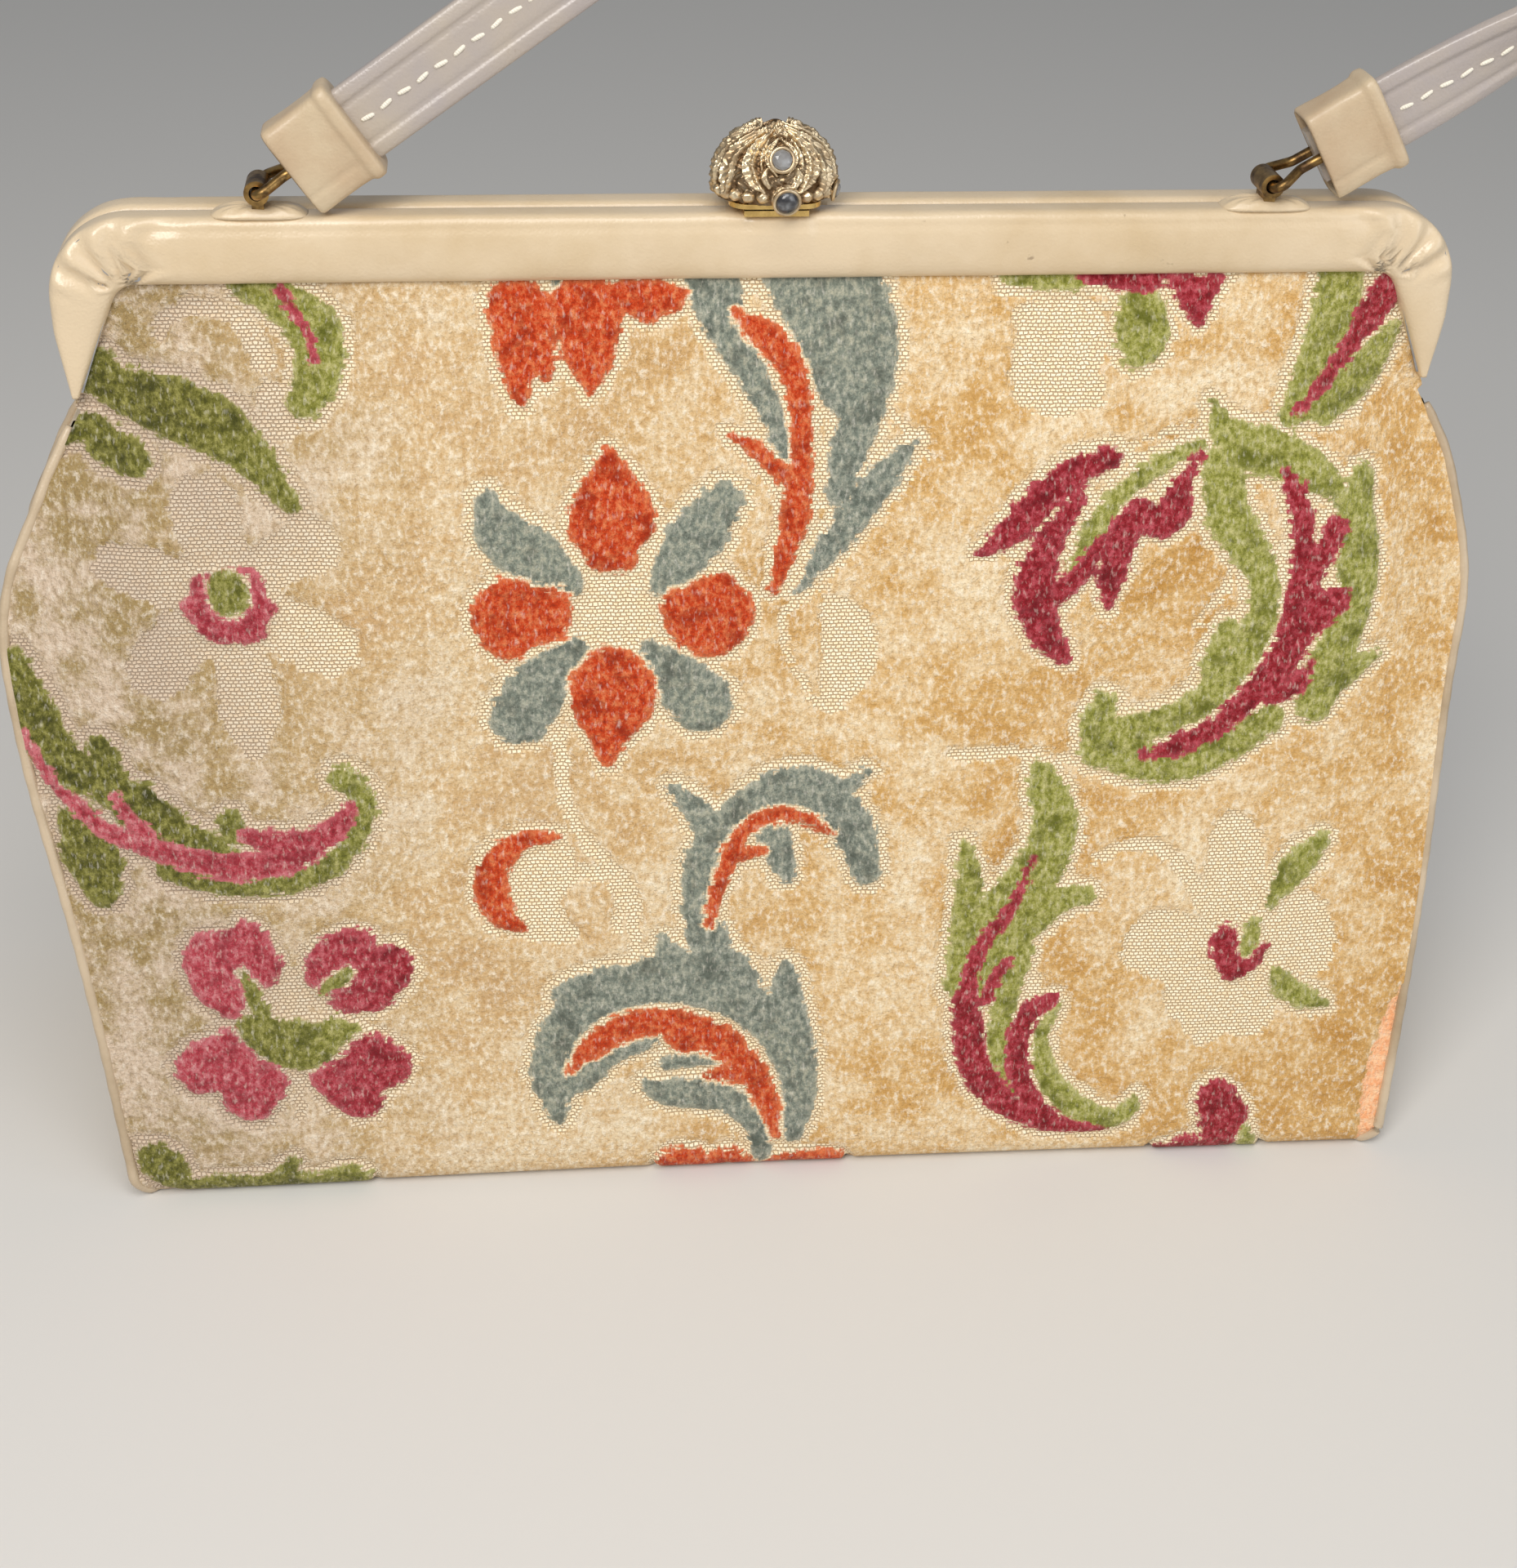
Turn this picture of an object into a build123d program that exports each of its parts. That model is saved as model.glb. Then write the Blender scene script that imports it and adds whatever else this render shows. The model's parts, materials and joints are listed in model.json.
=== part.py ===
"""Carpet bag: a framed handbag in cut-velvet carpet cloth with cream vinyl trim.

Units are millimetres, +Z is up, the bag's front faces -Y and +X is the viewer's right.
The origin lies under the middle of the bag, on the surface the bag stands on.

The cloth body is one strip that runs down the front, under the base and up the back.
A vinyl gusset with welted seams closes each side.  The mouth is a two-leaf steel frame
wrapped in vinyl: each leaf is an upside-down U whose legs end in eyes on a side rivet.
The handle is a vinyl strap with a sleeve cap at each end.  Each cap hides a loop that
hangs on a bent-wire bail, and each bail swings in a rolled lug on the front leaf.  The
clasp is a cast dome on a plate that is hinged to the back leaf.
"""

import math
import os

from build123d import *

os.makedirs("parts", exist_ok=True)

# Outline of the body as seen from the front
HINGE_Z = 173.0          # height of the rivets at the leg ends
LEAF_RISE = 40.0         # frame top above the rivets
WIDEST_Z = 135.0         # height at which the body is widest
HINGE_HALF = 145.0       # half width of the body at the hinge
WAIST_FLARE = 15.0       # how much further out the widest place is
BASE_FLARE = 2.0         # how much further out the base is
WAIST_RADIUS = 45.0      # rounding of the outline at the widest place
BASE_CORNER = 9.0        # rounding of the bottom corners

# Wedge of the body as seen from the side
BASE_DEPTH_HALF = 54.5   # half depth at the base, before its rounding
BELLY_Z = 95.0           # height at which the panels bulge
BELLY_DEPTH_HALF = 31.5  # half depth at that height
BASE_EDGE = 11.0         # rounding where the cloth turns under

# Sheet goods
CLOTH = 1.6              # carpet cloth with its backing
VINYL = 1.2              # gusset vinyl
STIFFENER = 0.8          # buckram behind the cloth
LINING = 0.8
PLY_GAP = 0.3            # room between one ply and the next
WELT = 2.8               # width of the covered cord in the side seams
WELT_PROUD = 0.4         # how far the cord stands in front of the cloth
BOARD = 2.0              # base board
BOARD_ROOM = 18.0        # base board ends this far inside the front and back

# Frame leaves
LEAF_SHOULDER = 2.0      # frame leaves beyond the body at the hinge
LEAF_CORNER = 17.0       # rounding of the frame's top corners
LEAF_FACE = 14.0         # height of the vinyl band above the cloth
LEAF_THICK = 8.3
LEAF_GAP = 0.2           # half of the gap between the closed leaves
COVER = 1.0              # vinyl over the steel
EDGE_ROUND = 2.4         # rounding of the padded front edge
TUCK = 4.0               # how far the cloth runs up into the channel
SLOT_CLEAR = 0.4         # room round the tucked plies
LEG_TIP = 1.4            # width left at the pointed end of a leg
LEG_END = 2.5            # how far the leg stops above the hinge
LEG_SWING_ROOM = 5.5     # gusset stops this far below the hinge, clear of the open legs

# Hinge rivets
EYE_PLATE = 1.2
EYE_RADIUS = 2.2
RIVET_RADIUS = 1.1
RIVET_CLEAR = 0.25
RIVET_HEAD = 0.8

# Handle
LUG_SPAN = 208.0         # between the two lugs
LUG_LIFT = 5.0           # lug axis above the frame
LUG_RADIUS = 2.5
LUG_LENGTH = 8.2
WIRE_RADIUS = 1.05
WIRE_CLEAR = 0.45
BAIL_REACH = 13.5        # from the lug axis to the axis inside the cap
BAIL_SHOULDER = 6.5      # where the bail narrows
BAIL_ANGLE = 30.0        # lean of the bails above level
LEAN_LEFT = 35.0         # heading of the strap at the left cap
LEAN_RIGHT = 31.0        # heading of the strap at the right cap
CAP_WIDTH = 20.0
CAP_DEPTH = 10.8
CAP_LENGTH = 16.0
CAP_WALL = 0.8
CAP_END = 3.0            # closed end that the strap is bonded to
CAP_OVERLAP_LEFT = 5.6   # how deep the bail's end sits in the left cap
CAP_OVERLAP_RIGHT = 2.4
STRAP_WIDTH = 16.0
STRAP_THICK = 4.0
STRAP_RIGHT_RUN = 28.0   # straight run of strap beyond the right cap
LOOP_WIDTH = 12.0
LOOP_THICK = 2.8

# Clasp
DOME_WIDTH = 26.0
DOME_DEPTH = 18.4
DOME_RISE = 11.5         # dome above its widest level
DOME_FOOT = 4.0          # dome below its widest level
PLATE = 1.0
PIN_RADIUS = 0.8
PIN_CLEAR = 0.25
KNUCKLE_RADIUS = 1.8
KNUCKLE_HALF = 5.0
STRIKE_WIDTH = 13.3

# Derived places
FRAME_TOP = HINGE_Z + LEAF_RISE
WIDEST_HALF = HINGE_HALF + WAIST_FLARE
BASE_HALF = HINGE_HALF + BASE_FLARE
LEAF_HALF_WIDTH = HINGE_HALF + LEAF_SHOULDER
BAND_Z = FRAME_TOP - LEAF_FACE
TUCK_Z = BAND_Z + TUCK
LEAF_OUT = LEAF_GAP + LEAF_THICK
LEAF_MID = LEAF_GAP + LEAF_THICK / 2
CLOTH_TOP_OUT = LEAF_OUT - COVER - 0.9 - SLOT_CLEAR
LUG_Z = FRAME_TOP + LUG_LIFT
TALL = 400.0             # longer than anything it cuts


def save(node, solid, color, name):
    """Write one sub-part to its own STEP file."""
    solid.label = name
    solid.color = Color(color)
    export_step(solid, f"parts/{node}.step")


def front_prism(sketch, y_from, y_to):
    """Extrude a front-view sketch, drawn in X and Z, between two Y values."""
    face = Plane.XZ.offset(-y_from) * sketch
    return extrude(face, amount=y_from - y_to)


def side_prism(sketch, x_from, x_to):
    """Extrude a side-view sketch, drawn in Y and Z, between two X values."""
    face = Plane.YZ.offset(x_from) * sketch
    return extrude(face, amount=x_to - x_from)


def body_outline(inset=0.0, top_half=None, top_z=HINGE_Z, base=None):
    """Front-view outline of the body, drawn in by an inset on every free side."""
    if base is None:
        base = inset
    corners = [
        (-(HINGE_HALF - inset), HINGE_Z),
        (-(WIDEST_HALF - inset), WIDEST_Z),
        (-(BASE_HALF - inset), base),
        (BASE_HALF - inset, base),
        (WIDEST_HALF - inset, WIDEST_Z),
        (HINGE_HALF - inset, HINGE_Z),
    ]
    radii = [WAIST_RADIUS, BASE_CORNER, BASE_CORNER, WAIST_RADIUS]
    side = FilletPolyline(*corners, radius=radii)
    if top_half is None:
        lid = Polyline(corners[-1], corners[0])
    else:
        lid = Polyline(corners[-1], (top_half, top_z), (-top_half, top_z), corners[0])
    return make_face(side + lid)


def wedge_section(inset=0.0, top_z=TUCK_Z):
    """Side-view section of the body, drawn in by an inset."""
    neck = CLOTH_TOP_OUT - inset
    belly = BELLY_DEPTH_HALF - inset
    foot = BASE_DEPTH_HALF - inset
    corners = [
        (-neck, top_z),
        (-neck, HINGE_Z),
        (-belly, BELLY_Z),
        (-foot, inset),
        (foot, inset),
        (belly, BELLY_Z),
        (neck, HINGE_Z),
        (neck, top_z),
    ]
    turn = BASE_EDGE - inset
    radii = [25, 150, turn, turn, 150, 25]
    side = FilletPolyline(*corners, radius=radii)
    return make_face(side + Polyline(corners[-1], corners[0]))


def ply(inset, thickness):
    """One ply of the front, base and back: a bent strip running right through in X."""
    outer = side_prism(wedge_section(inset), -TALL / 2, TALL / 2)
    inner = side_prism(wedge_section(inset + thickness, TUCK_Z + 1), -TALL, TALL)
    return outer - inner


def leaf_ring(shrink=0.0):
    """Front-view outline of a frame leaf, drawn in by the thickness of its cover."""
    half = LEAF_HALF_WIDTH - shrink
    tip_z = HINGE_Z + LEG_END + shrink
    tip_half = HINGE_HALF - 0.2 - shrink
    inner_half = LEAF_HALF_WIDTH - LEAF_FACE + shrink * 0.3
    outer = [(-tip_half, tip_z), (-half, HINGE_Z + 17), (-half, FRAME_TOP - shrink)]
    outer += [(-x, z) for x, z in reversed(outer)]
    rounds = [20, LEAF_CORNER - shrink, LEAF_CORNER - shrink, 20]
    rim = FilletPolyline(*outer, radius=rounds)
    inside = [
        (tip_half, tip_z),
        (tip_half - LEG_TIP, tip_z),
        (inner_half, BAND_Z + shrink),
        (-inner_half, BAND_Z + shrink),
        (-(tip_half - LEG_TIP), tip_z),
        (-tip_half, tip_z),
    ]
    return make_face(rim + Polyline(*inside))


TUCKED_HALF = LEAF_HALF_WIDTH - LEAF_FACE + 3.0
CLOTH_OUTLINE = body_outline(top_half=TUCKED_HALF, top_z=TUCK_Z)

# ---------------------------------------------------------------- cloth body
carpet = ply(0, CLOTH) & front_prism(CLOTH_OUTLINE, -TALL / 2, TALL / 2)
save("carpet_shell", carpet, "tan", "carpet cloth shell")

seam_edge = offset(body_outline(), WELT) - body_outline()
welt_band = front_prism(seam_edge, -TALL / 2, TALL / 2)
welt_band &= ply(-WELT_PROUD, WELT)

gusset_band = body_outline() - body_outline(VINYL)
inside_cloth = side_prism(wedge_section(CLOTH), -TALL / 2, TALL / 2)
for side, name in ((-1, "left"), (1, "right")):
    keep_x = side * TALL / 4
    keep = Pos(keep_x, 0, CLOTH) * Box(
        TALL / 2 - 20,
        TALL,
        HINGE_Z - LEG_SWING_ROOM - CLOTH,
        align=(Align.CENTER, Align.CENTER, Align.MIN),
    )
    gusset = front_prism(gusset_band, -TALL / 2, TALL / 2) & inside_cloth & keep
    save(f"gusset_{name}", gusset, "wheat", f"{name} vinyl gusset")

    for face, face_name in ((-1, "front"), (1, "back")):
        end_zone = Pos(keep_x, face * TALL / 2, BASE_EDGE) * Box(
            TALL / 2 - 20,
            TALL,
            HINGE_Z - BASE_EDGE - 3,
            align=(Align.CENTER, Align.CENTER, Align.MIN),
        )
        welt = welt_band & end_zone
        node = f"welt_{face_name}_{name}"
        save(node, welt, "wheat", f"{face_name} {name} welt cord")

stiffener = ply(CLOTH + PLY_GAP, STIFFENER) & front_prism(body_outline(5), -TALL / 2, TALL / 2)
for face, name in ((-1, "front"), (1, "back")):
    panel_zone = Pos(0, face * TALL / 2, 14) * Box(
        TALL, TALL, HINGE_Z - 24, align=(Align.CENTER, Align.CENTER, Align.MIN)
    )
    save(f"stiffener_{name}", stiffener & panel_zone, "gray", f"{name} stiffener")

board = Pos(0, 0, CLOTH + PLY_GAP) * Box(
    2 * BASE_HALF - 22,
    2 * (BASE_DEPTH_HALF - BOARD_ROOM),
    BOARD,
    align=(Align.CENTER, Align.CENTER, Align.MIN),
)
save("base_board", fillet(board.edges().filter_by(Axis.Z), 5), "peru", "base board")

lining_inset = CLOTH + STIFFENER + 2 * PLY_GAP
side_inset = 9.0
floor_z = CLOTH + BOARD + 2 * PLY_GAP
lining_top = TUCKED_HALF - 5
lining_zone = body_outline(side_inset, lining_top, TUCK_Z - 1, floor_z)
lining_room = body_outline(
    side_inset + LINING, lining_top - LINING, TUCK_Z + 1, floor_z + LINING
)
bag_in = side_prism(wedge_section(lining_inset, TUCK_Z - 1), -TALL / 2, TALL / 2)
bag_in &= front_prism(lining_zone, -TALL / 2, TALL / 2)
room = side_prism(wedge_section(lining_inset + LINING, TUCK_Z + 1), -TALL / 2, TALL / 2)
room &= front_prism(lining_room, -TALL / 2, TALL / 2)
mouth_split = Pos(0, 0, HINGE_Z - 2) * Box(
    TALL,
    2 * (CLOTH_TOP_OUT - lining_inset - LINING),
    TALL,
    align=(Align.CENTER, Align.CENTER, Align.MIN),
)
save("lining", bag_in - room - mouth_split, "tan", "lining")

pocket = ply(lining_inset + LINING + PLY_GAP, 1.0)
pocket &= Pos(0, TALL / 2, 70) * Box(130, TALL, 75, align=(Align.CENTER, Align.CENTER, Align.MIN))
save("inner_pocket", pocket, "tan", "inner pocket")

# ---------------------------------------------------------------- frame leaves
slot_shape = offset(CLOTH_OUTLINE, SLOT_CLEAR)
slot_in = CLOTH_TOP_OUT - lining_inset - LINING - SLOT_CLEAR
slot_out = CLOTH_TOP_OUT + SLOT_CLEAR
eye_x = HINGE_HALF - 5.6

for face, name in ((-1, "front"), (1, "back")):
    y_in = face * LEAF_GAP
    y_out = face * LEAF_OUT
    low, high = sorted((y_in, y_out))
    cover = front_prism(leaf_ring(), high, low)
    skin_edges = [
        edge
        for edge in cover.edges().filter_by_position(Axis.Y, y_out - 0.01, y_out + 0.01)
        if edge.center().Z > HINGE_Z + 12 and abs(edge.center().X) > LEAF_HALF_WIDTH - 6
        or edge.center().Z > FRAME_TOP - 0.5
    ]
    cover = fillet(skin_edges, EDGE_ROUND)
    steel_low, steel_high = sorted((face * (LEAF_GAP + COVER), face * (LEAF_OUT - COVER)))
    steel = front_prism(leaf_ring(COVER), steel_high, steel_low)
    slot_low, slot_high = sorted((face * slot_in, face * slot_out))
    slot = front_prism(slot_shape, slot_high, slot_low)
    steel -= slot
    cover = cover - steel - slot

    plate_x = eye_x if name == "front" else eye_x + EYE_PLATE + 0.3
    strip_mid = face * (slot_in + LEAF_GAP) / 2
    strip_width = slot_in - LEAF_GAP - 0.2
    for side in (-1, 1):
        eye = Pos(0, HINGE_Z) * Circle(EYE_RADIUS)
        stem = Pos(strip_mid, HINGE_Z + 10) * Rectangle(strip_width, 20)
        hole = Pos(0, HINGE_Z) * Circle(RIVET_RADIUS + RIVET_CLEAR)
        tab_start = side * plate_x
        tab = side_prism(eye + stem - hole, tab_start, tab_start + side * EYE_PLATE)
        steel += tab
        cover -= tab
    save(f"frame_{name}", steel, "silver", f"{name} leaf steel")
    save(f"cover_{name}", cover, "wheat", f"{name} leaf vinyl cover")

for side, name in ((-1, "left"), (1, "right")):
    shank_length = 2 * EYE_PLATE + 0.3 + 0.6
    start = side * (eye_x - 0.3)
    shank = side_prism(Pos(0, HINGE_Z) * Circle(RIVET_RADIUS), start, start + side * shank_length)
    far = start + side * shank_length
    rivet = shank
    rivet += side_prism(Pos(0, HINGE_Z) * Circle(2.0), start - side * RIVET_HEAD, start)
    rivet += side_prism(Pos(0, HINGE_Z) * Circle(2.0), far, far + side * RIVET_HEAD)
    save(f"hinge_rivet_{name}", rivet, "goldenrod", f"{name} hinge rivet")

# ---------------------------------------------------------------- handle
lug_y = -LEAF_MID


def direction(angle):
    """Unit vector in the XZ plane at an angle above +X."""
    return Vector(math.cos(math.radians(angle)), 0, math.sin(math.radians(angle)))


def bail_ends(side):
    """Lug centre and the centre of the axis inside the cap."""
    lug = Vector(side * LUG_SPAN / 2, lug_y, LUG_Z)
    return lug, lug + direction(BAIL_ANGLE) * BAIL_REACH


for side, name in ((-1, "left"), (1, "right")):
    lug_centre, pivot = bail_ends(side)
    place = Pos(*lug_centre)
    tube = Rot(90, 0, 0) * Cylinder(LUG_RADIUS, LUG_LENGTH)
    neck = Pos(0, 0, -LUG_LIFT / 2 - 0.6) * Box(2.4, LUG_LENGTH - 2.6, LUG_LIFT - 1.2)
    foot = Pos(0, 0, -LUG_LIFT + 0.5) * Box(11, LUG_LENGTH - 2.6, 1.0)
    bore = Rot(90, 0, 0) * Cylinder(WIRE_RADIUS + WIRE_CLEAR, LUG_LENGTH + 2)
    save(f"lug_{name}", place * (tube + neck + foot - bore), "peru", f"{name} handle lug")

    wide = LUG_LENGTH / 2 + 3.5
    narrow = LOOP_THICK / 2 + WIRE_RADIUS + WIRE_CLEAR
    ring_plane = Plane(lug_centre, x_dir=direction(BAIL_ANGLE), z_dir=direction(BAIL_ANGLE + 90))
    corners = [
        (0, -wide),
        (0, wide),
        (BAIL_SHOULDER, narrow),
        (BAIL_REACH, narrow),
        (BAIL_REACH, -narrow),
        (BAIL_SHOULDER, -narrow),
    ]
    rounds = [1.6, 1.6, 2.5, 1.3, 1.3, 2.5]
    ring_line = ring_plane * FilletPolyline(*corners, radius=rounds, close=True)
    ring_wire = Wire(ring_line.edges())
    section = Plane(ring_wire @ 0, z_dir=ring_wire % 0) * Circle(WIRE_RADIUS)
    bail = sweep(section, path=ring_wire)
    save(f"bail_{name}", bail, "peru", f"{name} wire bail")

    lean = LEAN_LEFT if side < 0 else LEAN_RIGHT
    overlap = CAP_OVERLAP_LEFT if side < 0 else CAP_OVERLAP_RIGHT
    mouth = pivot - direction(lean) * overlap
    sleeve_plane = Plane(mouth, x_dir=direction(lean - 90), z_dir=direction(lean))
    sleeve = extrude(sleeve_plane * RectangleRounded(CAP_WIDTH, CAP_DEPTH, 4.0), CAP_LENGTH)
    hollow_size = (CAP_WIDTH - 2 * CAP_WALL, CAP_DEPTH - 2 * CAP_WALL)
    hollow = extrude(
        sleeve_plane * RectangleRounded(*hollow_size, 4.0 - CAP_WALL), CAP_LENGTH - CAP_END
    )
    save(f"cap_{name}", sleeve - hollow, "wheat", f"{name} strap cap")

    loop_start = overlap - 2.8
    loop_plane = sleeve_plane.offset(loop_start)
    loop_length = CAP_LENGTH - CAP_END - loop_start
    loop = extrude(loop_plane * Rectangle(LOOP_WIDTH, LOOP_THICK), loop_length)
    loop -= Pos(*pivot) * Rot(90, 0, 0) * Cylinder(WIRE_RADIUS + WIRE_CLEAR, 20)
    save(f"strap_loop_{name}", loop, "wheat", f"{name} strap end loop")

left_pivot = bail_ends(-1)[1]
right_pivot = bail_ends(1)[1]
strap_from = left_pivot + direction(LEAN_LEFT) * (CAP_LENGTH - CAP_OVERLAP_LEFT)
strap_to = right_pivot + direction(LEAN_RIGHT) * (CAP_LENGTH - CAP_OVERLAP_RIGHT)
bend_end = strap_to + direction(LEAN_RIGHT) * STRAP_RIGHT_RUN

# The bend is one arc that touches both straight runs: solve for its radius and the left run.
reach = bend_end - strap_from
across = direction(LEAN_LEFT - 90) - direction(LEAN_RIGHT + 90)
out = direction(LEAN_LEFT)
scale_down = out.X * across.Z - out.Z * across.X
left_run = (reach.X * across.Z - reach.Z * across.X) / scale_down
bend_radius = (out.X * reach.Z - out.Z * reach.X) / scale_down
turn_angle = 180 + LEAN_LEFT - LEAN_RIGHT
bend_start = strap_from + out * left_run
bend_centre = bend_start + direction(LEAN_LEFT - 90) * bend_radius
bend_length = math.radians(turn_angle) * bend_radius
strap_length = left_run + bend_length + STRAP_RIGHT_RUN


def strap_place(distance):
    """Centre and heading, in degrees, of the strap at a distance along it."""
    if distance <= left_run:
        return strap_from + out * distance, LEAN_LEFT
    past = distance - left_run
    if past <= bend_length:
        heading = LEAN_LEFT - math.degrees(past / bend_radius)
        return bend_centre + direction(heading + 90) * bend_radius, heading
    left_over = strap_length - distance
    return strap_to + direction(LEAN_RIGHT) * left_over, LEAN_RIGHT - 180


def strap_twist(distance):
    """Twist of the strap: flat to the front at the caps, flat to the bend at its top."""
    rise = min(1, max(0, (distance - 70) / (left_run - 50)))
    fall = min(1, max(0, (strap_length - distance) / 90))
    ease = min(rise, fall)
    return 90 * ease * ease * (3 - 2 * ease)


strap_sections = []
for step in range(25):
    centre, heading = strap_place(strap_length * step / 24)
    twist = math.radians(strap_twist(strap_length * step / 24))
    wide_way = direction(heading - 90) * math.cos(twist) + Vector(0, -1, 0) * math.sin(twist)
    section_plane = Plane(centre, x_dir=wide_way, z_dir=direction(heading))
    strap_sections.append(section_plane * RectangleRounded(STRAP_WIDTH, STRAP_THICK, 1.8))
strap = loft(strap_sections)
save("strap", strap, "wheat", "handle strap")

# ---------------------------------------------------------------- clasp
strike_low = Pos(0, -LEAF_OUT + 2.6, FRAME_TOP + 0.6) * Box(STRIKE_WIDTH, 8.0, 1.2)
save("strike_plate", strike_low, "gold", "clasp strike plate")

pin_y = LEAF_OUT - 1.7
pin_z = FRAME_TOP + 3.2
bracket = Pos(0, pin_y - 1.2, FRAME_TOP + 0.5) * Box(17, 6.4, 1.0)
for side in (-1, 1):
    ear_x = side * (KNUCKLE_HALF + 1.4)
    ear = Pos(ear_x, pin_y, FRAME_TOP + 1.8) * Box(2.0, 3.4, 2.8)
    ear += Pos(ear_x, pin_y, pin_z) * Rot(0, 90, 0) * Cylinder(1.7, 2.0)
    bracket += ear
bracket -= Pos(0, pin_y, pin_z) * Rot(0, 90, 0) * Cylinder(PIN_RADIUS, 40)
save("clasp_bracket", bracket, "gold", "clasp bracket")

pin = Pos(0, pin_y, pin_z) * Rot(0, 90, 0) * Cylinder(PIN_RADIUS, 20)
save("clasp_pin", pin, "gold", "clasp pin")

coils = Part()
for coil_x in (8.2, 9.1):
    for side in (-1, 1):
        turn = Pos(side * coil_x, pin_y, pin_z) * Rot(0, 90, 0) * Torus(PIN_RADIUS + 0.45, 0.4)
        coils += turn
save("clasp_spring", coils, "silver", "clasp return spring")

plate_z = FRAME_TOP + 1.6
dome_y = pin_y - 10.0
base = Pos(0, dome_y, plate_z + PLATE / 2) * Box(19, 14, PLATE)
base = fillet(base.edges().filter_by(Axis.Z), 4)
base += Pos(0, (dome_y + pin_y) / 2, plate_z + PLATE / 2) * Box(
    2 * KNUCKLE_HALF, pin_y - dome_y, PLATE
)
base += Pos(0, pin_y, pin_z) * Rot(0, 90, 0) * Cylinder(KNUCKLE_RADIUS, 2 * KNUCKLE_HALF)
base -= Pos(0, pin_y, pin_z) * Rot(0, 90, 0) * Cylinder(PIN_RADIUS + PIN_CLEAR, 40)
save("clasp_base", base, "gold", "clasp base plate")

dome_z = plate_z + PLATE + DOME_FOOT
dome = scale(Sphere(1), by=(DOME_WIDTH / 2, DOME_DEPTH / 2, DOME_RISE))
dome = Pos(0, dome_y, dome_z) * dome
dome &= Pos(0, dome_y, plate_z + PLATE) * Box(
    60, 60, 60, align=(Align.CENTER, Align.CENTER, Align.MIN)
)
stones = {
    "stone_top": (3, 28, 2.0),
    "stone_front": (8, -14, 2.3),
    "stone_side": (78, -12, 1.8),
}
for node, (around, up, radius) in stones.items():
    around_r = math.radians(around)
    up_r = math.radians(up)
    spot = Vector(
        DOME_WIDTH / 2 * math.cos(up_r) * math.sin(around_r),
        -DOME_DEPTH / 2 * math.cos(up_r) * math.cos(around_r),
        DOME_RISE * math.sin(up_r),
    )
    normal = Vector(
        spot.X / (DOME_WIDTH / 2) ** 2,
        spot.Y / (DOME_DEPTH / 2) ** 2,
        spot.Z / DOME_RISE**2,
    ).normalized()
    spot += Vector(0, dome_y, dome_z)
    stone = extrude(Plane(spot - normal, z_dir=normal) * Circle(radius), 1.6)
    stone += extrude(Plane(spot + normal * 0.6, z_dir=normal) * Circle(radius), 0.8, taper=40)
    dome -= extrude(Plane(spot - normal, z_dir=normal) * Circle(radius), 4)
    save(node, stone, "lightgray", node.replace("_", " "))
dome -= base
save("clasp_dome", dome, "gold", "cast clasp dome")

print("strap length", round(strap_length, 1), "bend radius", round(bend_radius, 1))
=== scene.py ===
import json
import math

import bmesh
import bpy
import numpy as np
from mathutils import Matrix, Vector


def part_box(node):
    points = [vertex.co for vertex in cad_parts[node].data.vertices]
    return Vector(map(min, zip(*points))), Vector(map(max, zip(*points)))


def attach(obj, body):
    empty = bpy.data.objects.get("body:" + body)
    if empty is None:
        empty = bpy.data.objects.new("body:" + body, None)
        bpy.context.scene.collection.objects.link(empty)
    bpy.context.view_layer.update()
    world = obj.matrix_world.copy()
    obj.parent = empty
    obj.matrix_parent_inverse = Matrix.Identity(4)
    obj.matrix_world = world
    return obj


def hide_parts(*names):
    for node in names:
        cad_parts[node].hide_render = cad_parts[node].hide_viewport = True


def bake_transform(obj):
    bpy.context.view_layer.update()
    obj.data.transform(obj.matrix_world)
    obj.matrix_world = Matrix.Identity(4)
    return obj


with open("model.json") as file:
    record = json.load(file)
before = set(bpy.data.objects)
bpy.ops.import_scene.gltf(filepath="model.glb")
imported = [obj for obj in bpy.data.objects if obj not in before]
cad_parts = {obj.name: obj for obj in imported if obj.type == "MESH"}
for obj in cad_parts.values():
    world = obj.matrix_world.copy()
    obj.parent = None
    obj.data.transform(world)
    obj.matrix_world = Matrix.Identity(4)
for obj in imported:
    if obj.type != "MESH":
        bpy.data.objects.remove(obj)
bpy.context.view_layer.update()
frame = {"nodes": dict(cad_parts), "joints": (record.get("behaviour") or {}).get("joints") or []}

# ------------------------------------------------------------------ table, lights and camera
# The bag stands on a pale table under a large soft key lamp, a fill and a top lamp.
# The camera looks down at the front, a little from the left.

bpy.ops.mesh.primitive_plane_add(size=6)
table = bpy.context.object
table.name = "table"


def lamp(name, place, target, size, watts, tint):
    """A square soft lamp at a place, turned so that its face points at a target."""
    light = bpy.data.lights.new(name, "AREA")
    light.size = size
    light.energy = watts
    light.color = tint
    holder = bpy.data.objects.new(name, light)
    aim = Vector(target) - Vector(place)
    turn = aim.to_track_quat("-Z", "Y").to_matrix().to_4x4()
    holder.matrix_world = Matrix.Translation(place) @ turn
    bpy.context.scene.collection.objects.link(holder)


lamp("key_lamp", (-0.5, -0.95, 0.95), (0, 0, 0.1), 0.6, 10.2, (1.0, 0.97, 0.93))
lamp("fill_lamp", (0.9, -0.8, 0.5), (0, 0, 0.12), 0.9, 4.0, (0.95, 0.97, 1.0))
lamp("top_lamp", (0.0, -0.48, 0.98), (0, 0, 0.2), 0.5, 3.0, (1.0, 1.0, 1.0))

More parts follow.
